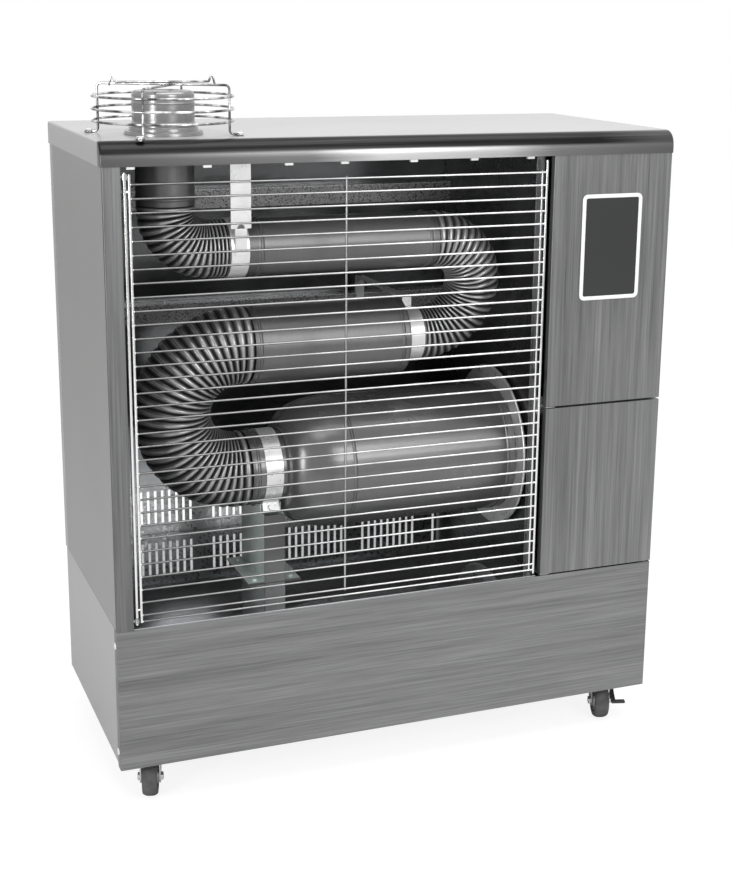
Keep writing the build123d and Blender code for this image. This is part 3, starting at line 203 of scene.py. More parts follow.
world = bpy.data.worlds.new("studio")
bpy.context.scene.world = world
world.use_nodes = True
sky = world.node_tree
background = sky.nodes["Background"]
rays = sky.nodes.new("ShaderNodeLightPath")
seen = rays.outputs["Is Camera Ray"]
for kind in ("Is Glossy Ray", "Is Transmission Ray"):
    either = sky.nodes.new("ShaderNodeMath")
    either.operation = "MAXIMUM"
    sky.links.new(seen, either.inputs[0])
    sky.links.new(rays.outputs[kind], either.inputs[1])
    seen = either.outputs[0]
level_node = sky.nodes.new("ShaderNodeMapRange")
level_node.inputs["To Min"].default_value = 0.55
level_node.inputs["To Max"].default_value = 1.0
sky.links.new(seen, level_node.inputs[0])
sky.links.new(level_node.outputs[0], background.inputs["Strength"])
background.inputs["Color"].default_value = (1, 1, 1, 1)


def softbox(name, place, aim, width, height, power):
    """A rectangular lamp at a place, turned towards the aim."""
    lamp = bpy.data.lights.new(name, "AREA")
    lamp.shape, lamp.size, lamp.size_y, lamp.energy = "RECTANGLE", width, height, power
    holder = bpy.data.objects.new(name, lamp)
    turn = (Vector(aim) - Vector(place)).to_track_quat("-Z", "Y").to_matrix().to_4x4()
    holder.matrix_world = Matrix.Translation(place) @ turn
    bpy.context.collection.objects.link(holder)


softbox("top_light", (0.3, -0.6, 3.2), (0, 0, 0.6), 3.0, 1.6, 52)
softbox("front_light", (0.9, -3.4, 1.9), (0, 0, 0.55), 1.4, 1.8, 44)
softbox("left_light", (-2.5, -1.8, 1.15), (-0.2, 0, 0.5), 0.5, 1.7, 34)


# ---- Base front. One sheet of stainless steel, brushed from side to side and folded back round
# both corners. It hides the fuel tank and is screwed to the base box at its ends.


def grid(points, around=False, along=False):
    """Quads over a grid: point (i, j) joins (i, j+1), (i+1, j+1) and (i+1, j). Along a direction
    that closes, the last points join the first."""
    rows, columns = points.shape[:2]
    number = np.arange(rows * columns).reshape(rows, columns)
    if along:
        number = np.vstack([number, number[:1]])
    if around:
        number = np.hstack([number, number[:, :1]])
    quads = np.stack([number[:-1, :-1], number[:-1, 1:], number[1:, 1:], number[1:, :-1]], axis=-1)
    return points.reshape(-1, 3), [tuple(q) for q in quads.reshape(-1, 4).tolist()]


def capped(points):
    """A grid of closed rings with a flat face over each end."""
    verts, faces = grid(points, around=True)
    columns, last = points.shape[1], points.shape[0] * points.shape[1]
    faces.append(tuple(range(columns))[::-1])
    faces.append(tuple(range(last - columns, last)))
    return verts, faces


def smooth_by_angle(shape, sharp):
    """Faces shade smoothly; edges whose faces meet at more than the angle stay sharp."""
    for face in shape.faces:
        face.smooth = True
    for edge in shape.edges:
        edge.smooth = len(edge.link_faces) == 2 and edge.calc_face_angle(0) < math.radians(sharp)


def piece(name, mesh_data, finish, body, replaces=(), sharp=35.0, crest=None):
    """A finished object of its own: outward faces, smooth but for edges over the sharp angle."""
    verts, faces = mesh_data
    mesh = bpy.data.meshes.new(name)
    mesh.from_pydata(verts.tolist(), [], faces)
    if crest is not None:
        mesh.attributes.new("crest", "FLOAT", "POINT").data.foreach_set("value", crest)
    shape = bmesh.new()
    shape.from_mesh(mesh)
    bmesh.ops.recalc_face_normals(shape, faces=shape.faces)
    smooth_by_angle(shape, sharp)
    shape.to_mesh(mesh)
    shape.free()
    mesh.materials.append(finish.material)
    made = bpy.data.objects.new(name, mesh)
    bpy.context.collection.objects.link(made)
    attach(made, body)
    if replaces:
        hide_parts(*replaces)


def brushed(name, level, stretch, metallic=0.75, roughness=0.36, contrast=0.33):
    """Brushed steel: long streaks, from noise squeezed across the brushing and drawn out along it."""
    finish = Finish(name, Metallic=metallic)
    fine = finish.noise(stretch, detail=4.0, rough=0.7)
    broad = finish.noise(tuple(s * 0.16 for s in stretch), detail=2.0)
    cloud = finish.noise((2.2, 2.2, 1.7), detail=1.0)
    streak = (fine - 0.5) * 1.4 + (broad - 0.5) * 0.8 + (cloud - 0.5) * 0.5
    tone = streak * contrast * 2 + 0.5
    dark, light = level * (1 - 2.2 * contrast), level * (1 + 2.2 * contrast)
    colour = finish.ramp(tone, (0.0, grey(dark, 0.012)), (1.0, grey(light, 0.006)))
    finish.feed(Base_Color=colour, Roughness=(fine - 0.5) * 0.28 + roughness)
    finish.feed(Normal=finish.bump(fine, 0.22, 0.0004))
    return finish


def rounded(corners, radius, steps=5):
    """A polyline whose inner corners c become the curve (1-t)^2 a + 2t(1-t) c + t^2 b, with a and b
    on the line at the radius before and after the corner."""
    corners = [np.array(c, float) for c in corners]
    line = [corners[0]]
    for before, here, after in zip(corners, corners[1:], corners[2:]):
        into = (here - before) / np.linalg.norm(here - before)
        out = (after - here) / np.linalg.norm(after - here)
        share = np.linspace(0, 1, steps + 1)[:, None]
        line += list((1 - share) ** 2 * (here - into * radius) + 2 * share * (1 - share) * here
                     + share**2 * (here + out * radius))
    return np.array(line + [corners[-1]])


def sheet_ring(line, gauge):
    """A closed outline: the line, and back again each point plus the gauge times its unit normal,
    which lies to the left of the line."""
    step = np.gradient(line, axis=0)
    normal = np.stack([-step[:, 1], step[:, 0]], axis=1)
    normal /= np.linalg.norm(normal, axis=1)[:, None]
    return np.vstack([line, (line + normal * gauge)[::-1]])


def drawn(outline, low, high, edge=0.0004):
    """An outline drawn upwards. Each ring is the outline at one height, and the end rings are
    pulled towards its middle by a fifth of the edge, so that they catch the light."""
    middle = outline.mean(axis=0)
    rings = []
    for place, pull in ((low, edge), (low + edge, 0), (high - edge, 0), (high, edge)):
        shift = outline - middle
        length = np.maximum(np.linalg.norm(shift, axis=1)[:, None], 1e-9)
        flat = outline - shift / length * pull * 0.2
        rings.append(np.column_stack([flat, np.full(len(flat), place)]))
    return capped(np.array(rings))


gauge = 0.0015
fold = 0.0022
steel_across = brushed("brushed_across", 0.195, (6.0, 300.0, 380.0))
low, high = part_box("base_front_panel")
front = [(low[0], high[1]), (low[0], low[1]), (high[0], low[1]), (high[0], high[1])]
piece(
    "base_front",
    drawn(sheet_ring(rounded(front, fold), gauge), low[2], high[2]),
    steel_across, "cabinet", ("base_front_panel",),
)

# ---- Base box and cabinet sides. Folded sheet in satin grey enamel with a faint orange-peel skin.
# The sides stand on the base box, and a thin band of painted shade darkens the narrow seam between
# them.


def dress(node, finish, bevel=0.0, sharp=35.0):
    """A merged copy of a CAD node with softened edges, which stands for the node."""
    source = frame["nodes"][node]
    body = next(b for b, names in frame["record"]["behaviour"]["bodies"].items() if node in names)
    shape = bmesh.new()
    shape.from_mesh(source.data)
    bmesh.ops.remove_doubles(shape, verts=shape.verts, dist=2e-6)
    bmesh.ops.dissolve_limit(
        shape, angle_limit=math.radians(1.0), verts=shape.verts, edges=shape.edges, delimit={"NORMAL"}
    )
    smooth_by_angle(shape, sharp)
    mesh = bpy.data.meshes.new(node + "_finished")
    shape.to_mesh(mesh)
    shape.free()
    mesh.materials.append(finish.material)
    made = bpy.data.objects.new(node + "_finished", mesh)
    bpy.context.collection.objects.link(made)
    if bevel:
        cut = made.modifiers.new("softened", "BEVEL")
        cut.width, cut.segments, cut.limit_method = bevel, 2, "ANGLE"
        cut.angle_limit = math.radians(50)
        cut.harden_normals = False
    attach(made, body)
    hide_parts(node)


def enamel(name, level, tint=0.0, roughness=0.34, coat=0.15, metallic=0.0, mottled=0.05):
    """Satin enamel: slow drift in tone and gloss, and a fine orange-peel bump."""
    finish = Finish(name, Metallic=metallic, Coat_Weight=coat, Coat_Roughness=0.25)
    drift = finish.noise((3.0, 3.0, 2.0), detail=2.0)
    peel = finish.noise((900.0, 900.0, 900.0), detail=1.0)
    tone = (drift - 0.5) * mottled * 8 + 0.5
    finish.feed(
        Base_Color=finish.ramp(
            tone, (0.0, grey(level * (1 - mottled), tint)), (1.0, grey(level * (1 + mottled), tint))
        ),
        Roughness=(drift - 0.5) * 0.12 + roughness,
        Normal=finish.bump(peel, 0.06, 0.0002),
    )
    return finish


side_grey = enamel("side_grey", 0.22, tint=-0.004, roughness=0.38, metallic=0.25)
base_grey = enamel("base_side_grey", 0.36, roughness=0.40, metallic=0.25)
# Painted shade: a near-black band along the seam where the side panels stand on the base box.
for finish, seam_low, seam_high in ((base_grey, 0.2838, 0.2848), (side_grey, 0.2884, 0.2874)):
    spot = finish.node("ShaderNodeTexCoord", {}, output="Object")
    height = finish.node("ShaderNodeSeparateXYZ", {}, spot, output="Z")
    paint = finish.shader.inputs["Base Color"].links[0].from_socket
    seam_shadow = height.between(seam_low, seam_high) * 0.85
    finish.feed(Base_Color=finish.blend(seam_shadow, Socket(finish, paint), grey(0.02)))
dress("base_walls", base_grey, 0.0008)
for node in ("left_side_panel", "right_side_panel"):
    dress(node, side_grey, 0.0008)

# ---- Rear panel, floor pan and rear rails. Galvanised sheet with its frost-like spangle. The
# rails are folded channels behind the pipes, dull on the web, with a painted highlight along each top
# flange.


def galvanised(name, level, roughness=0.34, spangle=260.0, metallic=0.7):
    """Zinc spangle: cells of slightly different grey and gloss, with a soft cloud over them."""
    finish = Finish(name, Metallic=metallic)
    cell = finish.node("ShaderNodeTexVoronoi", {}, Vector=finish.place(), Scale=spangle, output="Color")
    value = finish.node("ShaderNodeSeparateColor", {}, cell)
    cloud = finish.noise((9.0, 9.0, 9.0), detail=4.0)
    tone = (value - 0.5) * 0.28 + (cloud - 0.5) * 0.5 + 0.5
    finish.feed(
        Base_Color=finish.ramp(tone, (0.0, grey(level * 0.62, 0.01)), (1.0, grey(level * 1.3, 0.01))),
        Roughness=(value - 0.5) * 0.22 + roughness,
        Normal=finish.bump(value, 0.05, 0.0003),
    )
    return finish


zinc = galvanised("zinc_sheet", 0.42)
dress("back_panel", zinc)
dress("floor_pan", zinc)
rail_zinc = galvanised("zinc_rail", 0.30, spangle=420.0)
spot = rail_zinc.node("ShaderNodeTexCoord", {}, output="Object")
height = rail_zinc.node("ShaderNodeSeparateXYZ", {}, spot, output="Z")
speckle = rail_zinc.noise((420.0, 420.0, 420.0), detail=2.0)
# Painted highlight: the top flange of each rail is painted near white, for the light it catches from
# above.
upper_flange_highlight = height.between(0.8862, 0.8872)
lower_flange_highlight = height.between(0.6982, 0.6992) * (1 - height.between(0.72, 0.73))
flange_highlight = upper_flange_highlight + lower_flange_highlight
face = rail_zinc.ramp(speckle, (0.3, grey(0.13)), (0.5, grey(0.26)), (0.7, grey(0.46)))
rail_zinc.feed(Base_Color=rail_zinc.blend(flange_highlight, face, grey(0.72)))
dress("rear_rails", rail_zinc, 0.0006)

# ---- Left stile. A narrow upright of steel, brushed from top to bottom and folded back beside
# the rod that the grille hangs from.

steel_upright = brushed("brushed_upright", 0.146, (360.0, 300.0, 5.0))
low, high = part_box("left_stile")
stile = [(low[0], low[1] + 0.004), (low[0], low[1]), (high[0], low[1]), (high[0], high[1])]
piece(
    "stile",
    drawn(sheet_ring(rounded(stile, fold), gauge), low[2], high[2]),
    steel_upright, "cabinet", ("left_stile",),
)

# ---- Lid. One pressed sheet, enamelled on top, and painted lighter on its flat top as painted light.
# Its front is rolled down over a large radius into a brushed fascia that carries a painted
# reflection: a dark upper band and a brighter lower one. A cheek closes each end.


def joined(parts):
    """Several meshes as one."""
    verts, faces, start = [], [], 0
    for part_verts, part_faces in parts:
        verts.append(part_verts)
        faces += [tuple(v + start for v in face) for face in part_faces]
        start += len(part_verts)
    return np.vstack(verts), faces


lid_finish = Finish("lid_sheet", Coat_Roughness=0.08)
spot = lid_finish.node("ShaderNodeTexCoord", {}, output="Object")
across = lid_finish.node("ShaderNodeSeparateXYZ", {}, spot, output="X")
depth = lid_finish.node("ShaderNodeSeparateXYZ", {}, spot, output="Y")
height = lid_finish.node("ShaderNodeSeparateXYZ", {}, spot, output="Z")
low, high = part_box("lid")
streak = lid_finish.noise((4.0, 500.0, 620.0), detail=4.0, rough=0.7)
share = across.between(low[0], high[0]) + (streak - 0.5) * 0.10
# Painted reflection on the fascia: grey in the lower band with a bright stretch across its middle, near
# black in the upper band.
lower_band_reflection = lid_finish.ramp(
    share, (0.0, grey(0.11)), (0.34, grey(0.13)), (0.46, grey(0.42)),
    (0.68, grey(0.42)), (0.77, grey(0.18)), (1.0, grey(0.13)),
)
upper_band_reflection = lid_finish.ramp(share, (0.0, grey(0.020)), (0.86, grey(0.014)), (0.97, grey(0.075)))
rise = height.between(low[2], high[2]) + (streak - 0.5) * 0.07
fascia = lid_finish.blend(rise.between(0.42, 0.52), lower_band_reflection, upper_band_reflection)
fascia = lid_finish.blend(streak.between(0.52, 0.75) * 0.25, fascia, grey(0.12))
front_share = depth.between(low[1] + 0.022, low[1] + 0.016)
# Painted light: the flat top is lighter than the rest of the sheet (0.31), with a slow random cloud in
# its tone.
cloud = lid_finish.noise((2.0, 3.0, 2.0), detail=2.0)
top = lid_finish.ramp(cloud, (0.3, grey(0.38)), (0.7, grey(0.44)))
flat_top = height.between(high[2] - 0.0022, high[2] - 0.0008)
side = lid_finish.blend(flat_top, grey(0.31), top)
lid_finish.feed(
    Base_Color=lid_finish.blend(front_share, side, fascia),
    Metallic=front_share * 0.92,
    Coat_Weight=flat_top * 0.1,
    Roughness=(streak - 0.5) * 0.15 + 0.30,
)
nose, rear_fold, lid_gauge = 0.026, 0.006, 0.0014
line = np.array([(low[1], low[2]), (low[1], high[2]), (high[1], high[2]), (high[1], low[2])])
front_arc = rounded(line[:3], nose, 14)
profile = np.vstack([front_arc[:-1], rounded(line[1:], rear_fold, 5)[1:]])
ring = sheet_ring(profile, -lid_gauge)
steps = np.array([0.0, 0.0003, 0.0012, 0.0030])
pull = np.array([0.0020, 0.0011, 0.0003, 0.0])
places = np.concatenate([low[0] + steps, (high[0] - steps)[::-1]])
pulls = np.concatenate([pull, pull[::-1]])
centre = np.array([(low[1] + high[1]) / 2, low[2]])
span = np.array([(high[1] - low[1]) / 2, high[2] - low[2]])
rings = np.array([
    np.column_stack([np.full(len(ring), x), centre + (ring - centre) * (1 - p / span)])
    for x, p in zip(places, pulls)
])
shell = capped(rings)
cheeks = []
outer = rings[0][: len(profile)]
for x, inward in ((low[0], 1), (high[0], -1)):
    wall = [outer[:, 1:], centre + (outer[:, 1:] - centre) * 0.9995]
    near = np.column_stack([np.full(len(outer), x + inward * 0.0001), wall[0]])
    far = np.column_stack([np.full(len(outer), x + inward * lid_gauge), wall[1]])
    cheeks.append(capped(np.array([near, far])))
piece("lid_sheet", joined([shell] + cheeks), lid_finish, "cabinet", ("lid",), sharp=50)

# ---- Bay sheets. Bright rolled sheet lines the bay and throws the heat of the pipes forwards.
# Heat has clouded it. A partition closes off the burner bay, which has a plain shelf.


def mirror_sheet(name, level, roughness=0.20, metallic=0.9):
    """Rolled sheet that mirrors the bay, clouded with heat and faint rolling streaks."""
    finish = Finish(name, Metallic=metallic)
    cloud = finish.noise((5.0, 5.0, 7.0), detail=5.0, rough=0.6)
    smear = finish.noise((2.0, 60.0, 60.0), detail=2.0)
    tone = (cloud - 0.5) * 1.3 + (smear - 0.5) * 0.4 + 0.5
    finish.feed(
        Base_Color=finish.ramp(tone, (0.1, grey(level * 0.55, 0.02)), (0.9, grey(level * 1.5, 0.02))),
        Roughness=(cloud - 0.5) * roughness + roughness,
        Normal=finish.bump(cloud, roughness * 1.2, 0.003),
    )
    return finish


bay_steel = mirror_sheet("bay_steel", 0.16)
dress("back_reflector", bay_steel, 0.0004)
dress("left_lining", bay_steel, 0.0004)
dress("bay_floor", mirror_sheet("bay_floor_steel", 0.46, roughness=0.04))
# Painted light: the ceiling plate is painted brighter than the other bay sheets, for the light at the
# top of the bay.
dress("ceiling_plate", mirror_sheet("ceiling_steel_painted_light", 0.50, roughness=0.4))
dress("partition_wall", mirror_sheet("partition_steel", 0.15, roughness=0.28), 0.0004)
dress("burner_shelf", zinc, 0.0004)

# ---- Doors. Two brushed steel panels at the right. The upper one is fixed and carries the
# display. The lower one opens on its left edge, in front of the burner.

door_steel = brushed("brushed_door", 0.182, (360.0, 300.0, 5.0))
dress("control_panel", door_steel, 0.0009)
dress("lower_door", door_steel, 0.0009)
dress("mid_rail", zinc, 0.0005)

# ---- Display. A pale moulded frame with rounded corners is set in the upper panel. It holds a
# smoked window, and the control board stands behind it.


def rounded_frame(half_width, half_height, corner, count=8):
    """Points round a rectangle, anticlockwise: each corner's centre plus the corner radius times
    cos and sin of an angle that runs through a quarter circle."""
    turn = np.linspace(0, math.pi / 2, count)
    arcs = []
    for number, (sx, sz) in enumerate(((1, 1), (-1, 1), (-1, -1), (1, -1))):
        angle = turn + number * math.pi / 2
        arcs.append(np.column_stack([
            sx * (half_width - corner) + corner * np.cos(angle),
            sz * (half_height - corner) + corner * np.sin(angle),
        ]))
    return np.vstack(arcs)


low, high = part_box("display_bezel")
mid_x, mid_z = (low[0] + high[0]) / 2, (low[2] + high[2]) / 2
half_w, half_h = (high[0] - low[0]) / 2, (high[2] - low[2]) / 2
rim = 0.0060
stations = [
    (0.0, high[1]), (0.0, low[1] + 0.0006), (0.0006, low[1]), (rim - 0.0006, low[1]),
    (rim, low[1] + 0.0006), (rim, high[1]),
]
loops = []
for inset, y in stations:
    flat = rounded_frame(half_w - inset, half_h - inset, max(0.0085 - inset, 0.003))
    loops.append(np.column_stack([flat[:, 0] + mid_x, np.full(len(flat), y), flat[:, 1] + mid_z]))
bezel_white = enamel("bezel_white", 0.78, roughness=0.30, mottled=0.01)
piece(
    "display_frame", grid(np.array(loops), around=True, along=True),
    bezel_white, "cabinet", ("display_bezel",),
)
smoked = enamel("smoked_window", 0.026, tint=0.03, roughness=0.20, coat=0.1, mottled=0.04)
dress("display_glass", smoked)
board = enamel("board_green", 0.06, roughness=0.5)
board.feed(Base_Color=board.ramp(
    board.noise((160.0, 160.0, 160.0)), (0.45, (0.01, 0.09, 0.04)), (0.6, (0.02, 0.16, 0.07)),
))
dress("control_board", board)

# ---- Radiating pipes. Rolled steel tube in satin grey heat paint, with a swaged bead near each
# joint. The large middle pipe ends in a plate with a smaller spigot.


def pipe_grey(name, level, roughness=0.33):
    """Heat paint on rolled tube: fine rings of drawing marks and a slow heat cloud."""
    finish = Finish(name, Metallic=0.55)
    cloud = finish.noise((7.0, 9.0, 9.0), detail=4.0)
    marks = finish.noise((700.0, 14.0, 14.0), detail=2.0)
    tone = (cloud - 0.5) * 1.1 + (marks - 0.5) * 0.35 + 0.5
    finish.feed(
        Base_Color=finish.ramp(tone, (0.1, grey(level * 0.78)), (0.9, grey(level * 1.22))),
        Roughness=(cloud - 0.5) * 0.2 + roughness,
        Normal=finish.bump(marks, 0.10, 0.0004),
    )
    return finish


def revolved(profile, origin, axis, turns=96):
    """A closed profile of (place, radius) turned about an axis: the place lies along the axis, and
    radius times cos and radius times sin of the angle lie across it."""
    profile = np.array(profile, float)
    angle = np.linspace(0, 2 * math.pi, turns, endpoint=False)
    across = {"x": (1, 2, 0), "z": (0, 1, 2)}[axis]
    points = np.zeros((len(profile), turns, 3))
    points[:, :, across[0]] = profile[:, 1:] * np.cos(angle)
    points[:, :, across[1]] = profile[:, 1:] * np.sin(angle)
    points[:, :, across[2]] = profile[:, :1]
    return grid(points + np.array(origin, float), around=True, along=True)


def bead(place, radius, height=0.0020, width=0.0055, count=9):
    """A raised bead: radius + height sin(t), while the place runs over the width as t goes from 0
    to pi."""
    share = np.linspace(0, math.pi, count)
    along = place - width / 2 + width * share / math.pi
    return np.column_stack([along, radius + height * np.sin(share)])


tube_grey = pipe_grey("pipe_grey", 0.135)
wall = 0.0012
small, large = 0.0430, 0.0600


def tube_piece(name, node, radius, beads, axis_y, axis_z, low_x, high_x, end=None):
    """A beaded tube along X, with a smaller spigot past a plate where an end is given."""
    line = [(low_x, radius - wall), (low_x, radius)]
    for place in beads:
        line += bead(place, radius).tolist()
    line.append((high_x, radius))
    if end:
        narrow, reach_x = end
        line += [(high_x + 0.0012, radius + 0.0012), (high_x + 0.0024, radius)]
        line += [(high_x + 0.0024, narrow)]
        line += [(reach_x, narrow), (reach_x, narrow - wall), (high_x - wall, narrow - wall)]
    line.append((high_x - wall, radius - wall))
    piece(name, revolved(line, (0, axis_y, axis_z), "x"), tube_grey, "cabinet", (node,))


low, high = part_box("top_pipe")
top_y, top_z = (low[1] + high[1]) / 2, (low[2] + high[2]) / 2
top_left, top_right = low[0], high[0]
tube_piece(
    "upper_tube", "top_pipe", small, (low[0] + 0.006, high[0] - 0.006), top_y, top_z, low[0], high[0]
)
low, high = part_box("middle_pipe")
middle_y, middle_z = (low[1] + high[1]) / 2, (low[2] + high[2]) / 2
plate_x = high[0] - 0.030
tube_piece(
    "middle_tube", "middle_pipe", large, (low[0] + 0.005, plate_x - 0.012), middle_y, middle_z,
    low[0], plate_x - 0.0024, (small, high[0]),
)
spigot_end = high[0]
low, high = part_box("riser_pipe")
flue_x, flue_y = (low[0] + high[0]) / 2, (low[1] + high[1]) / 2
line = [(low[2], small - wall), (low[2], small)] + bead(low[2] + 0.010, small).tolist()
line += [(high[2], small), (high[2], small - wall)]
piece(
    "riser_tube", revolved(line, (flue_x, flue_y, 0), "z"),
    tube_grey, "cabinet", ("riser_pipe",),
)

# ---- Crimped elbows. Each bend is a tube pleated all round, whose wall gathers most on the inside
# of the bend. Painted light follows the pleats: bright crests and dark valleys, darker still inside.

crimped = Finish("crimped_grey", Metallic=0.6)
# Painted light from the crest attribute: a painted highlight on the crests, painted shade in the
# valleys and inside the tube.
fold_height = crimped.node("ShaderNodeAttribute", {"attribute_name": "crest"}, output="Fac")
heat = crimped.noise((10.0, 10.0, 10.0), detail=4.0)
tone = fold_height + (heat - 0.5) * 0.35
crimped.feed(
    Base_Color=crimped.ramp(
        tone, (0.0, grey(0.020)), (0.40, grey(0.075)), (0.78, grey(0.14)), (0.96, grey(0.40))
    ),
    Roughness=(1 - fold_height) * 0.22 + 0.27,
)


def pleats(share, sharpness=1.35):
    """Height of a pleat over its length: |sin(pi share)| to the power of 1/sharpness, which rounds
    the crest and narrows the valleys."""
    wave = np.abs(np.sin(math.pi * share))
    return wave ** (1 / sharpness)


def crimped_bend(name, node, middle, outward, upward, bend, sweep, leads, counts, radius, plain=(0, 0)):
    """A circle carried round an arc. Each point is the spine, plus the spoke times size cos(a), plus
    the bend's axis times size sin(a). The size is the radius less depth times (1 - crest), and the
    depth grows from the outside of the bend, a = 0, to its inside, a = pi."""
    middle, outward, upward = (np.array(v, float) for v in (middle, outward, upward))
    upward /= np.linalg.norm(upward)
    steady = np.cross(outward, upward)
    arc = bend * sweep
    per_rib = 10
    travel, share = [], []
    for number, (start, end) in enumerate(((-leads[0], 0.0), (0.0, arc), (arc, arc + leads[1]))):
        count = counts[number]
        if not count:
            continue
        steps = np.linspace(0, 1, count * per_rib, endpoint=False)
        travel.append(start + (end - start) * steps)
        share.append(steps * count)
    travel = np.concatenate(travel + [[arc + leads[1]]])
    share = np.concatenate(share + [[0.0]])
    angle = np.clip(travel, 0, arc) / bend
    beyond = np.where(travel < 0, travel, np.maximum(travel - arc, 0))
    spoke = np.cos(angle)[:, None] * upward + np.sin(angle)[:, None] * outward
    heading = np.cos(angle)[:, None] * outward - np.sin(angle)[:, None] * upward
    spine = middle + spoke * bend + heading * beyond[:, None]
    crest = pleats(share % 1.0)
    around = np.linspace(0, 2 * math.pi, 96, endpoint=False)
    inner = (1 - np.cos(around)) / 2
    depth = 0.0030 + (0.0022 + 0.05 * radius) * inner
    size = radius + 0.0006 - depth[None, :] * (1 - crest[:, None])
    points = (
        spine[:, None, :]
        + spoke[:, None, :] * (np.cos(around) * size)[:, :, None]
        + steady * (np.sin(around) * size)[:, :, None]
    )
    height = np.repeat(crest[:, None], len(around), axis=1)
    rings = [points]
    heights = [height]
    for end, length in ((0, plain[0]), (-1, plain[1])):
        if not length:
            continue
        way = -heading[end] if end == 0 else heading[end]
        circle = spoke[end] * np.cos(around)[:, None] + steady * np.sin(around)[:, None]
        near = spine[end] + circle * radius
        far = near + way * length
        lip = np.array([near + way * 0.0004, far])
        level = np.full((2, len(around)), 0.62)
        if end == 0:
            rings.insert(0, lip[::-1])
            heights.insert(0, level)
        else:
            rings.append(lip)
            heights.append(level)
    outside = np.vstack(rings)
    centres = outside.mean(axis=1, keepdims=True)
    inside = centres + (outside - centres) * (1 - 0.0016 / radius)
    shell = np.vstack([outside, inside[::-1]])
    level = np.vstack(heights)
    # Painted shade: the inside of the tube takes 0.3 times the crest value of the outside.
    painted_fold_light = np.vstack([level, level[::-1] * 0.3])
    piece(
        name, grid(shell, around=True, along=True), crimped, "cabinet", (node,),
        sharp=60, crest=painted_fold_light.ravel(),
    )


bend_quarter = 0.060
crimped_bend(
    "flue_bend", "flue_elbow",
    (flue_x + bend_quarter, flue_y, top_z + bend_quarter), (0, 0, -1), (-1, 0, 0),
    bend_quarter, math.pi / 2,
    (0.008, 0.024), (1, 12, 4), small, (0, top_left - 0.0002 - (flue_x + bend_quarter + 0.024)),
)
right_x = top_right + 0.0082
rise = np.array([0, top_y - middle_y, top_z - middle_z])
crimped_bend(
    "right_bend", "right_elbow",
    (right_x, (top_y + middle_y) / 2, (top_z + middle_z) / 2), (1, 0, 0), rise,
    np.linalg.norm(rise) / 2, math.pi, (0, 0), (0, 26, 0), small,
    (0.008, right_x - spigot_end - 0.0002),
)
low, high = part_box("chamber_shell")
drum_y, drum_z = (low[1] + high[1]) / 2, (low[2] + high[2]) / 2
neck_left, drum_right = low[0], high[0]
left_x = neck_left - 0.0182
rise = np.array([0, middle_y - drum_y, middle_z - drum_z])
crimped_bend(
    "left_bend", "left_elbow",
    (left_x, (middle_y + drum_y) / 2, (middle_z + drum_z) / 2), (-1, 0, 0), rise,
    np.linalg.norm(rise) / 2, math.pi, (0.014, 0.014), (1, 29, 1), large, (0.004, 0.004),
)

# ---- Combustion drum. Spun sheet with a domed end drawn down to a neck and a raised seam bead. A
# wide flanged ring closes its right end against the wall of the burner bay.

drum_grey = pipe_grey("drum_grey", 0.155, roughness=0.25)
drum_radius, neck_radius = 0.107, 0.060
neck_end, dome_end, drum_wall = -0.149, -0.062, 0.002
turn = np.linspace(0, math.pi / 2, 18)
dome = np.column_stack([
    dome_end - (dome_end - neck_end) * np.cos(turn),
    neck_radius + (drum_radius - neck_radius) * np.sin(turn) ** 0.85,
])
outer = [(neck_left, neck_radius)] + bead(neck_left + 0.006, neck_radius).tolist()
outer += [(neck_end - 0.001, neck_radius)] + dome.tolist()
outer += bead(-0.052, drum_radius, 0.0022, 0.006).tolist()
outer += bead(0.213, drum_radius, 0.0012, 0.004).tolist() + [(drum_right, drum_radius)]
inner = [(x, r - drum_wall) for x, r in ((drum_right, drum_radius), (dome_end, drum_radius),
                                         (neck_end + 0.004, neck_radius), (neck_left, neck_radius))]
piece(
    "drum", revolved(outer + inner, (0, drum_y, drum_z), "x", 128),
    drum_grey, "cabinet", ("chamber_shell",),
)


def plated(name, level, roughness=0.16, metallic=1.0, scale=40.0):
    """Bright zinc or chrome plate: near mirror, with faint handling smears."""
    finish = Finish(name, Metallic=metallic)
    smear = finish.noise((scale, scale, scale), detail=3.0)
    finish.feed(
        Base_Color=finish.ramp(smear, (0.25, grey(level * 0.86)), (0.75, grey(level * 1.06))),
        Roughness=(smear - 0.5) * 0.2 + roughness,
    )
    return finish


ring_steel = plated("ring_steel", 0.80, roughness=0.30, metallic=0.7)
low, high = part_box("chamber_end_ring")
edge = (high[2] - low[2]) / 2
rim_turn = np.linspace(-math.pi / 2, math.pi / 2, 9)
curl_r = 0.0026
curl = np.column_stack([
    low[0] + curl_r + curl_r * np.sin(rim_turn), edge - curl_r + curl_r * np.cos(rim_turn)
])
line = [(low[0] + 0.0005, 0.041), (low[0] + 0.0005, edge - 0.004)] + curl.tolist()
line += [(low[0] + 0.0052, edge - 0.004), (low[0] + 0.0025, edge - 0.004), (low[0] + 0.0025, 0.056),
         (high[0], 0.056), (high[0], 0.041)]
piece(
    "drum_ring", revolved(line, (0, drum_y, drum_z), "x", 128),
    ring_steel, "cabinet", ("chamber_end_ring",),
)

# ---- Hanger, clamps, arms and stand. Bright galvanised strip, bent and bolted round the pipes.
# The stand is a folded bracket under the drum's neck, with painted shade on its rear face.

strip_zinc = plated("strip_zinc", 0.78, roughness=0.30, metallic=0.55, scale=25.0)
for node in ("small_clamps", "neck_clamp", "hanging_strap", "pipe_arms"):
    dress(node, strip_zinc, 0.0004)
stand_zinc = plated("stand_zinc", 0.40, roughness=0.34, metallic=0.35)
spot = stand_zinc.node("ShaderNodeTexCoord", {}, output="Object")
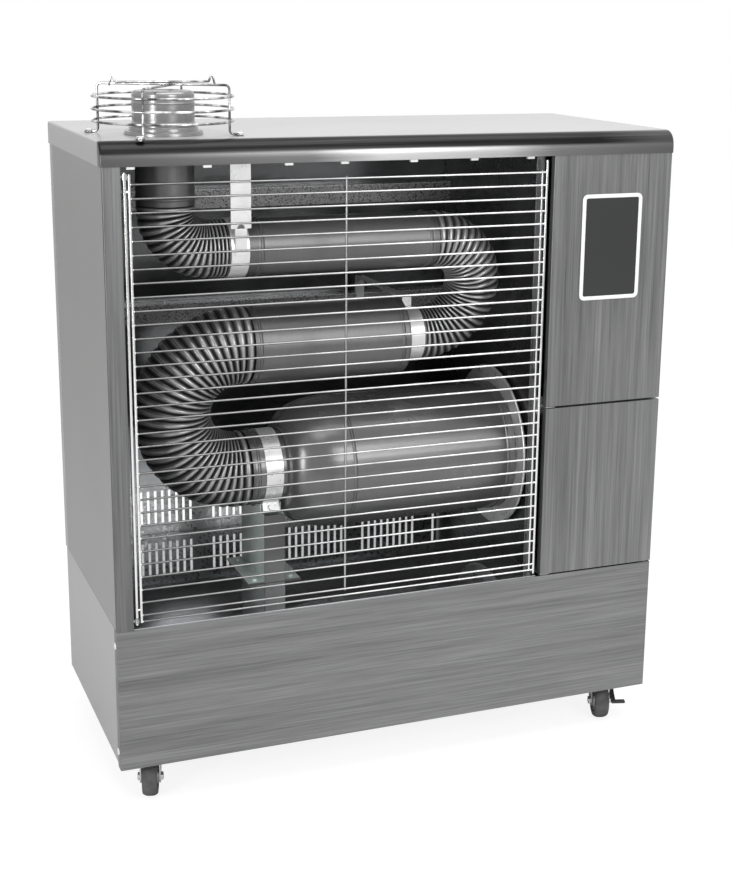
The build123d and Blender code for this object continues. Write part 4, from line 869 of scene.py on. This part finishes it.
# Painted shade: where y is below -0.0885 the stand is painted near black, as shade from the drum above.
painted_shade_face = stand_zinc.node("ShaderNodeSeparateXYZ", {}, spot, output="Y").between(-0.0885, -0.0870)
smear = stand_zinc.noise((18.0, 18.0, 9.0), detail=3.0)
web = stand_zinc.ramp(smear, (0.3, (0.56, 0.64, 0.61)), (0.7, (0.68, 0.75, 0.72)))
stand_zinc.feed(Base_Color=stand_zinc.blend(painted_shade_face, grey(0.08), web))
dress("chamber_stand", stand_zinc, 0.0005)

# ---- Flue outlet. A stepped collar in grey enamel sits on the lid round the riser. The pressed
# cap on it has a round shoulder and a raised bead.

cap_grey = enamel("cap_grey", 0.24, roughness=0.26, coat=0.2, metallic=0.6)
low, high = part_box("flue_collar")
base_r = (high[0] - low[0]) / 2
inner_r = small + 0.0003
step = (low[2] + high[2]) / 2
line = [
    (low[2], inner_r), (low[2], base_r), (step - 0.0022, base_r), (step - 0.0007, base_r - 0.0008),
    (step, base_r - 0.0024), (step, base_r - 0.007), (high[2] - 0.0018, base_r - 0.0072),
    (high[2] - 0.0005, base_r - 0.0080), (high[2], base_r - 0.0095), (high[2], inner_r),
]
piece(
    "collar", revolved(line, (flue_x, flue_y, 0), "z"),
    cap_grey, "cabinet", ("flue_collar",),
)
low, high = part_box("flue_cap")
cap_r, foot, shoulder_r = 0.0449, 0.0016, 0.006
shoulder = np.linspace(0, math.pi / 2, 10)
line = [(low[2], inner_r), (low[2], cap_r + foot), (low[2] + 0.0045, cap_r + foot)]
line += [(low[2] + 0.006, cap_r)]
line += bead(low[2] + 0.0330, cap_r, 0.0007, 0.003).tolist()
line += np.column_stack([
    high[2] - shoulder_r + shoulder_r * np.sin(shoulder),
    cap_r - shoulder_r + shoulder_r * np.cos(shoulder),
]).tolist()
line += [
    (high[2], 0.030), (high[2] - 0.0008, 0.0285), (high[2] - 0.0008, 0.0001),
    (high[2] - 0.002, 0.0001), (high[2] - 0.002, cap_r - 0.007), (high[2] - 0.006, inner_r),
]
piece(
    "cap", revolved(line, (flue_x, flue_y, 0), "z", 128),
    cap_grey, "cabinet", ("flue_cap",),
)

# ---- Flue guard. Chromed wire: three welded rings, two crossing hoops that form the four legs,
# and a bar with an ear at each end. Every leg ends in an eye that is screwed to the lid.


def wire(path, radius, sides=12, closed=False):
    """A circle carried along a path: each point is the path, plus radius times (side cos(a) + other
    sin(a)). Side and other are square to the path, and side is square to the direction that the
    path runs along least."""
    path = np.array(path, float)
    if closed:
        tangent = np.roll(path, -1, axis=0) - np.roll(path, 1, axis=0)
    else:
        tangent = np.gradient(path, axis=0)
    tangent /= np.linalg.norm(tangent, axis=1)[:, None]
    spread = np.linalg.svd(tangent, full_matrices=False)[2][-1]
    side = np.cross(tangent, spread)
    side /= np.linalg.norm(side, axis=1)[:, None]
    other = np.cross(tangent, side)
    angle = np.linspace(0, 2 * math.pi, sides, endpoint=False)
    points = (
        path[:, None, :] + radius * (side[:, None, :] * np.cos(angle)[:, None]
                                     + other[:, None, :] * np.sin(angle)[:, None])
    )
    return grid(points, around=True, along=True) if closed else capped(points)


chrome = plated("chrome_wire", 0.70, roughness=0.10)
# Painted reflection: a noise ramp from near black to bright along the wire, for the room that the
# chrome reflects.
painted_reflection = chrome.noise((45.0, 45.0, 45.0), detail=2.0)
chrome.feed(Base_Color=chrome.ramp(painted_reflection, (0.36, grey(0.09)), (0.50, grey(0.34)), (0.62, grey(0.80))))
low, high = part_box("flue_guard")
guard_r, wire_r, ring_heights = 0.101, 0.0018, (1.020, 1.037, 1.055)
leg_bend, foot_reach, eye_r, eye_wire = 0.007, 0.0092, 0.0052, 0.0016
ear_wire, ear_bend = 0.0016, 0.0009
centre = np.array([flue_x, flue_y, 0])
circle = np.linspace(0, 2 * math.pi, 120, endpoint=False)
parts = []
for ring_z in ring_heights:
    ring = np.column_stack([
        np.cos(circle) * guard_r, np.sin(circle) * guard_r, np.full(len(circle), ring_z)
    ])
    parts.append(wire(centre + ring, wire_r, closed=True))
leg_r, foot_z, hoop_z = guard_r - 0.003, low[2] + wire_r, 1.068
for number, degrees in enumerate((60.0, 150.0)):
    spoke = np.array([math.cos(math.radians(degrees)), math.sin(math.radians(degrees)), 0])
    top = hoop_z + number * 0.0032
    line = []
    for side in (-1, 1):
        reach_in = [(leg_r + foot_reach, foot_z), (leg_r, foot_z), (leg_r, top)]
        half = [centre + spoke * r * side + np.array([0, 0, z]) for r, z in reach_in]
        line += half if side < 0 else half[::-1]
    parts.append(wire(rounded(line, leg_bend, 8), wire_r))
    for side in (-1, 1):
        eye_centre = centre + spoke * side * (leg_r + foot_reach + eye_r) + np.array([0, 0, foot_z])
        loop = np.linspace(0, 2 * math.pi, 24, endpoint=False)
        ring = np.column_stack([np.cos(loop) * eye_r, np.sin(loop) * eye_r, np.zeros(24)])
        parts.append(wire(eye_centre + ring, eye_wire, closed=True))
bar_z, ear = hoop_z + 0.0064, 0.073
tip = high[2] - 0.0004
half = [(ear + 0.0042, bar_z - 0.0046), (ear + 0.0008, tip), (ear - 0.0012, tip), (ear - 0.0048, bar_z)]
line = [centre + np.array([-x, 0, z]) for x, z in half]
line += [centre + np.array([x, 0, z]) for x, z in half[::-1]]
parts.append(wire(rounded(line, ear_bend, 8), ear_wire))
piece("wire_guard", joined(parts), chrome, "cabinet", ("flue_guard",), sharp=60)
dress("panel_screws", plated("screw_zinc", 0.90, roughness=0.3, metallic=0.5), 0.0003)

# ---- Front grille. Bright plated wires welded across four uprights. It swings on the rod at the
# left, which turns in two bushes, and small clips sit under the edge of the lid.

grille_wire, middle_wire, edge_wire, rod_wire = 0.0016, 0.0019, 0.0022, 0.0025
top_wire, pitch, wires, lowest_wire = 0.940, 0.0198, 33, 0.2965
link_heights = (0.3155, 0.930)
grille_y = -0.200
rod_x, left_x, inner_x, right_x, mid_x = -0.418, -0.411, 0.226, 0.234, -0.091
low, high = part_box("front_grille")
heights = list(top_wire - pitch * np.arange(wires)) + [lowest_wire]
parts = []
for height in heights:
    steps = np.linspace(left_x, right_x, 12)
    run = np.column_stack([steps, np.full(12, grille_y), np.full(12, height)])
    parts.append(wire(run, grille_wire, 10))
uprights = (
    (rod_x, rod_wire, low[2] + 0.002, high[2] - 0.001, 0.0),
    (left_x, edge_wire, 0.2955, 0.954, 0.0),
    (right_x, edge_wire, low[2], high[2], 0.0),
    (inner_x, grille_wire, 0.2955, 0.942, 0.0),
    (mid_x, middle_wire, heights[-2] - 0.003, 0.943, 0.0024),
)
for place, radius, bottom, top, back in uprights:
    steps = np.linspace(bottom, top, 30)
    run = np.column_stack([np.full(30, place), np.full(30, grille_y + back), steps])
    parts.append(wire(run, radius, 12))
for link in link_heights:
    steps = np.linspace(rod_x, left_x, 3)
    run = np.column_stack([steps, np.full(3, grille_y), np.full(3, link)])
    parts.append(wire(run, grille_wire, 10))
grille_chrome = plated("grille_chrome", 0.78, roughness=0.22)
spot = grille_chrome.node("ShaderNodeTexCoord", {}, output="Object")
across = grille_chrome.node("ShaderNodeSeparateXYZ", {}, spot, output="X")
smear = grille_chrome.noise((14.0, 40.0, 14.0), detail=3.0)
# Painted light: the wires darken towards the left and brighten towards the right, and the hinge rod is
# painted brighter still, as painted reflections.
share = across.between(-0.405, 0.16) + across.between(-0.4080, -0.4090) + (smear - 0.5) * 0.5
grille_chrome.feed(Base_Color=grille_chrome.ramp(
    share, (0.0, grey(0.12)), (0.45, grey(0.26)), (0.8, grey(0.55)), (1.0, grey(0.78)),
))
piece("wire_grille", joined(parts), grille_chrome, "grille", ("front_grille",), sharp=60)
dress("grille_bushes", chrome, 0.0008)
dress("lid_clips", strip_zinc, 0.0005)

# ---- Fuel tank and burner. The tank is black enamelled sheet in the base. Behind the service door
# are the cast blower housing, its motor, the pump, and copper lines from the tank.

tank_black = enamel("tank_black", 0.030, roughness=0.35, coat=0.3)
dress("fuel_tank", tank_black, 0.0010)
moulded = enamel("moulded_black", 0.018, roughness=0.48, coat=0.0, mottled=0.15)
for node in ("filler_cap", "mains_inlet", "brake_pedal"):
    dress(node, moulded, 0.0005)
cast_grey = enamel("cast_grey", 0.075, roughness=0.5, metallic=0.3, mottled=0.12)
for node in ("blower_housing", "blower_motor", "fuel_pump"):
    dress(node, cast_grey, 0.0008)
dress("blast_tube", strip_zinc)
dress("impeller", strip_zinc)
copper = plated("copper_pipe", 0.3, roughness=0.28)
copper.feed(Base_Color=copper.ramp(
    copper.noise((30.0, 30.0, 30.0)), (0.3, (0.36, 0.15, 0.07)), (0.7, (0.52, 0.24, 0.12)),
))
dress("fuel_lines", copper)

# ---- Casters. Pressed zinc forks turn on kingpins and hold black rubber wheels with grey hubs.
# The brake pedal at the front right is finished with the other black mouldings above.

fork_zinc = plated("fork_zinc", 0.55, roughness=0.24)
rubber = Finish("caster_rubber", Roughness=0.62)
scuff = rubber.noise((60.0, 60.0, 60.0), detail=5.0)
rubber.feed(
    Base_Color=rubber.ramp(scuff, (0.3, grey(0.028)), (0.75, grey(0.085))),
    Normal=rubber.bump(scuff, 0.3, 0.0006),
)
hub_grey = enamel("hub_grey", 0.20, roughness=0.4)
dress("caster_plates", fork_zinc, 0.0004)
wheel_r, wheel_half, hub_half, crown, trail = 0.030, 0.0115, 0.0131, 0.0035, 0.020
toe = math.radians(253.0)
axle = np.array([-math.sin(toe), math.cos(toe), 0])
turn_to_axle = np.array([axle, [0, 0, 1], np.cross(axle, [0, 0, 1])])

# The tread: the radius is wheel_r less the crown times |share| to the power 3.2 across its width.
share = np.linspace(-1, 1, 14)
tread = np.column_stack([wheel_half * share, wheel_r - crown * np.abs(share) ** 3.2])
tyre = [(-wheel_half, 0.0200)] + tread.tolist() + [(wheel_half, 0.0200)]
tyre += [(wheel_half - 0.0030, 0.0190), (-wheel_half + 0.0030, 0.0190)]
disc = [
    (-wheel_half + 0.0028, 0.0192), (wheel_half - 0.0028, 0.0192), (wheel_half - 0.0034, 0.0120),
    (hub_half, 0.0100), (hub_half, 0.0042), (-hub_half, 0.0042), (-hub_half, 0.0100),
    (-wheel_half + 0.0034, 0.0120),
]
for corner, (swivel_x, swivel_y) in {
    "front_left": (-0.392, -0.152), "front_right": (0.392, -0.152),
    "rear_left": (-0.392, 0.152), "rear_right": (0.392, 0.152),
}.items():
    dress("caster_fork_" + corner, fork_zinc, 0.0004)
    hub = np.array([swivel_x + trail * math.cos(toe), swivel_y + trail * math.sin(toe), wheel_r])
    for name, profile, finish in (("tyre", tyre, rubber), ("hub", disc, hub_grey)):
        verts, faces = revolved(profile, (0, 0, 0), "x", 64)
        verts = verts @ turn_to_axle + hub
        piece(
            f"{name}_{corner}", (verts, faces), finish, "wheel_" + corner,
            ("caster_wheel_" + corner,),
        )
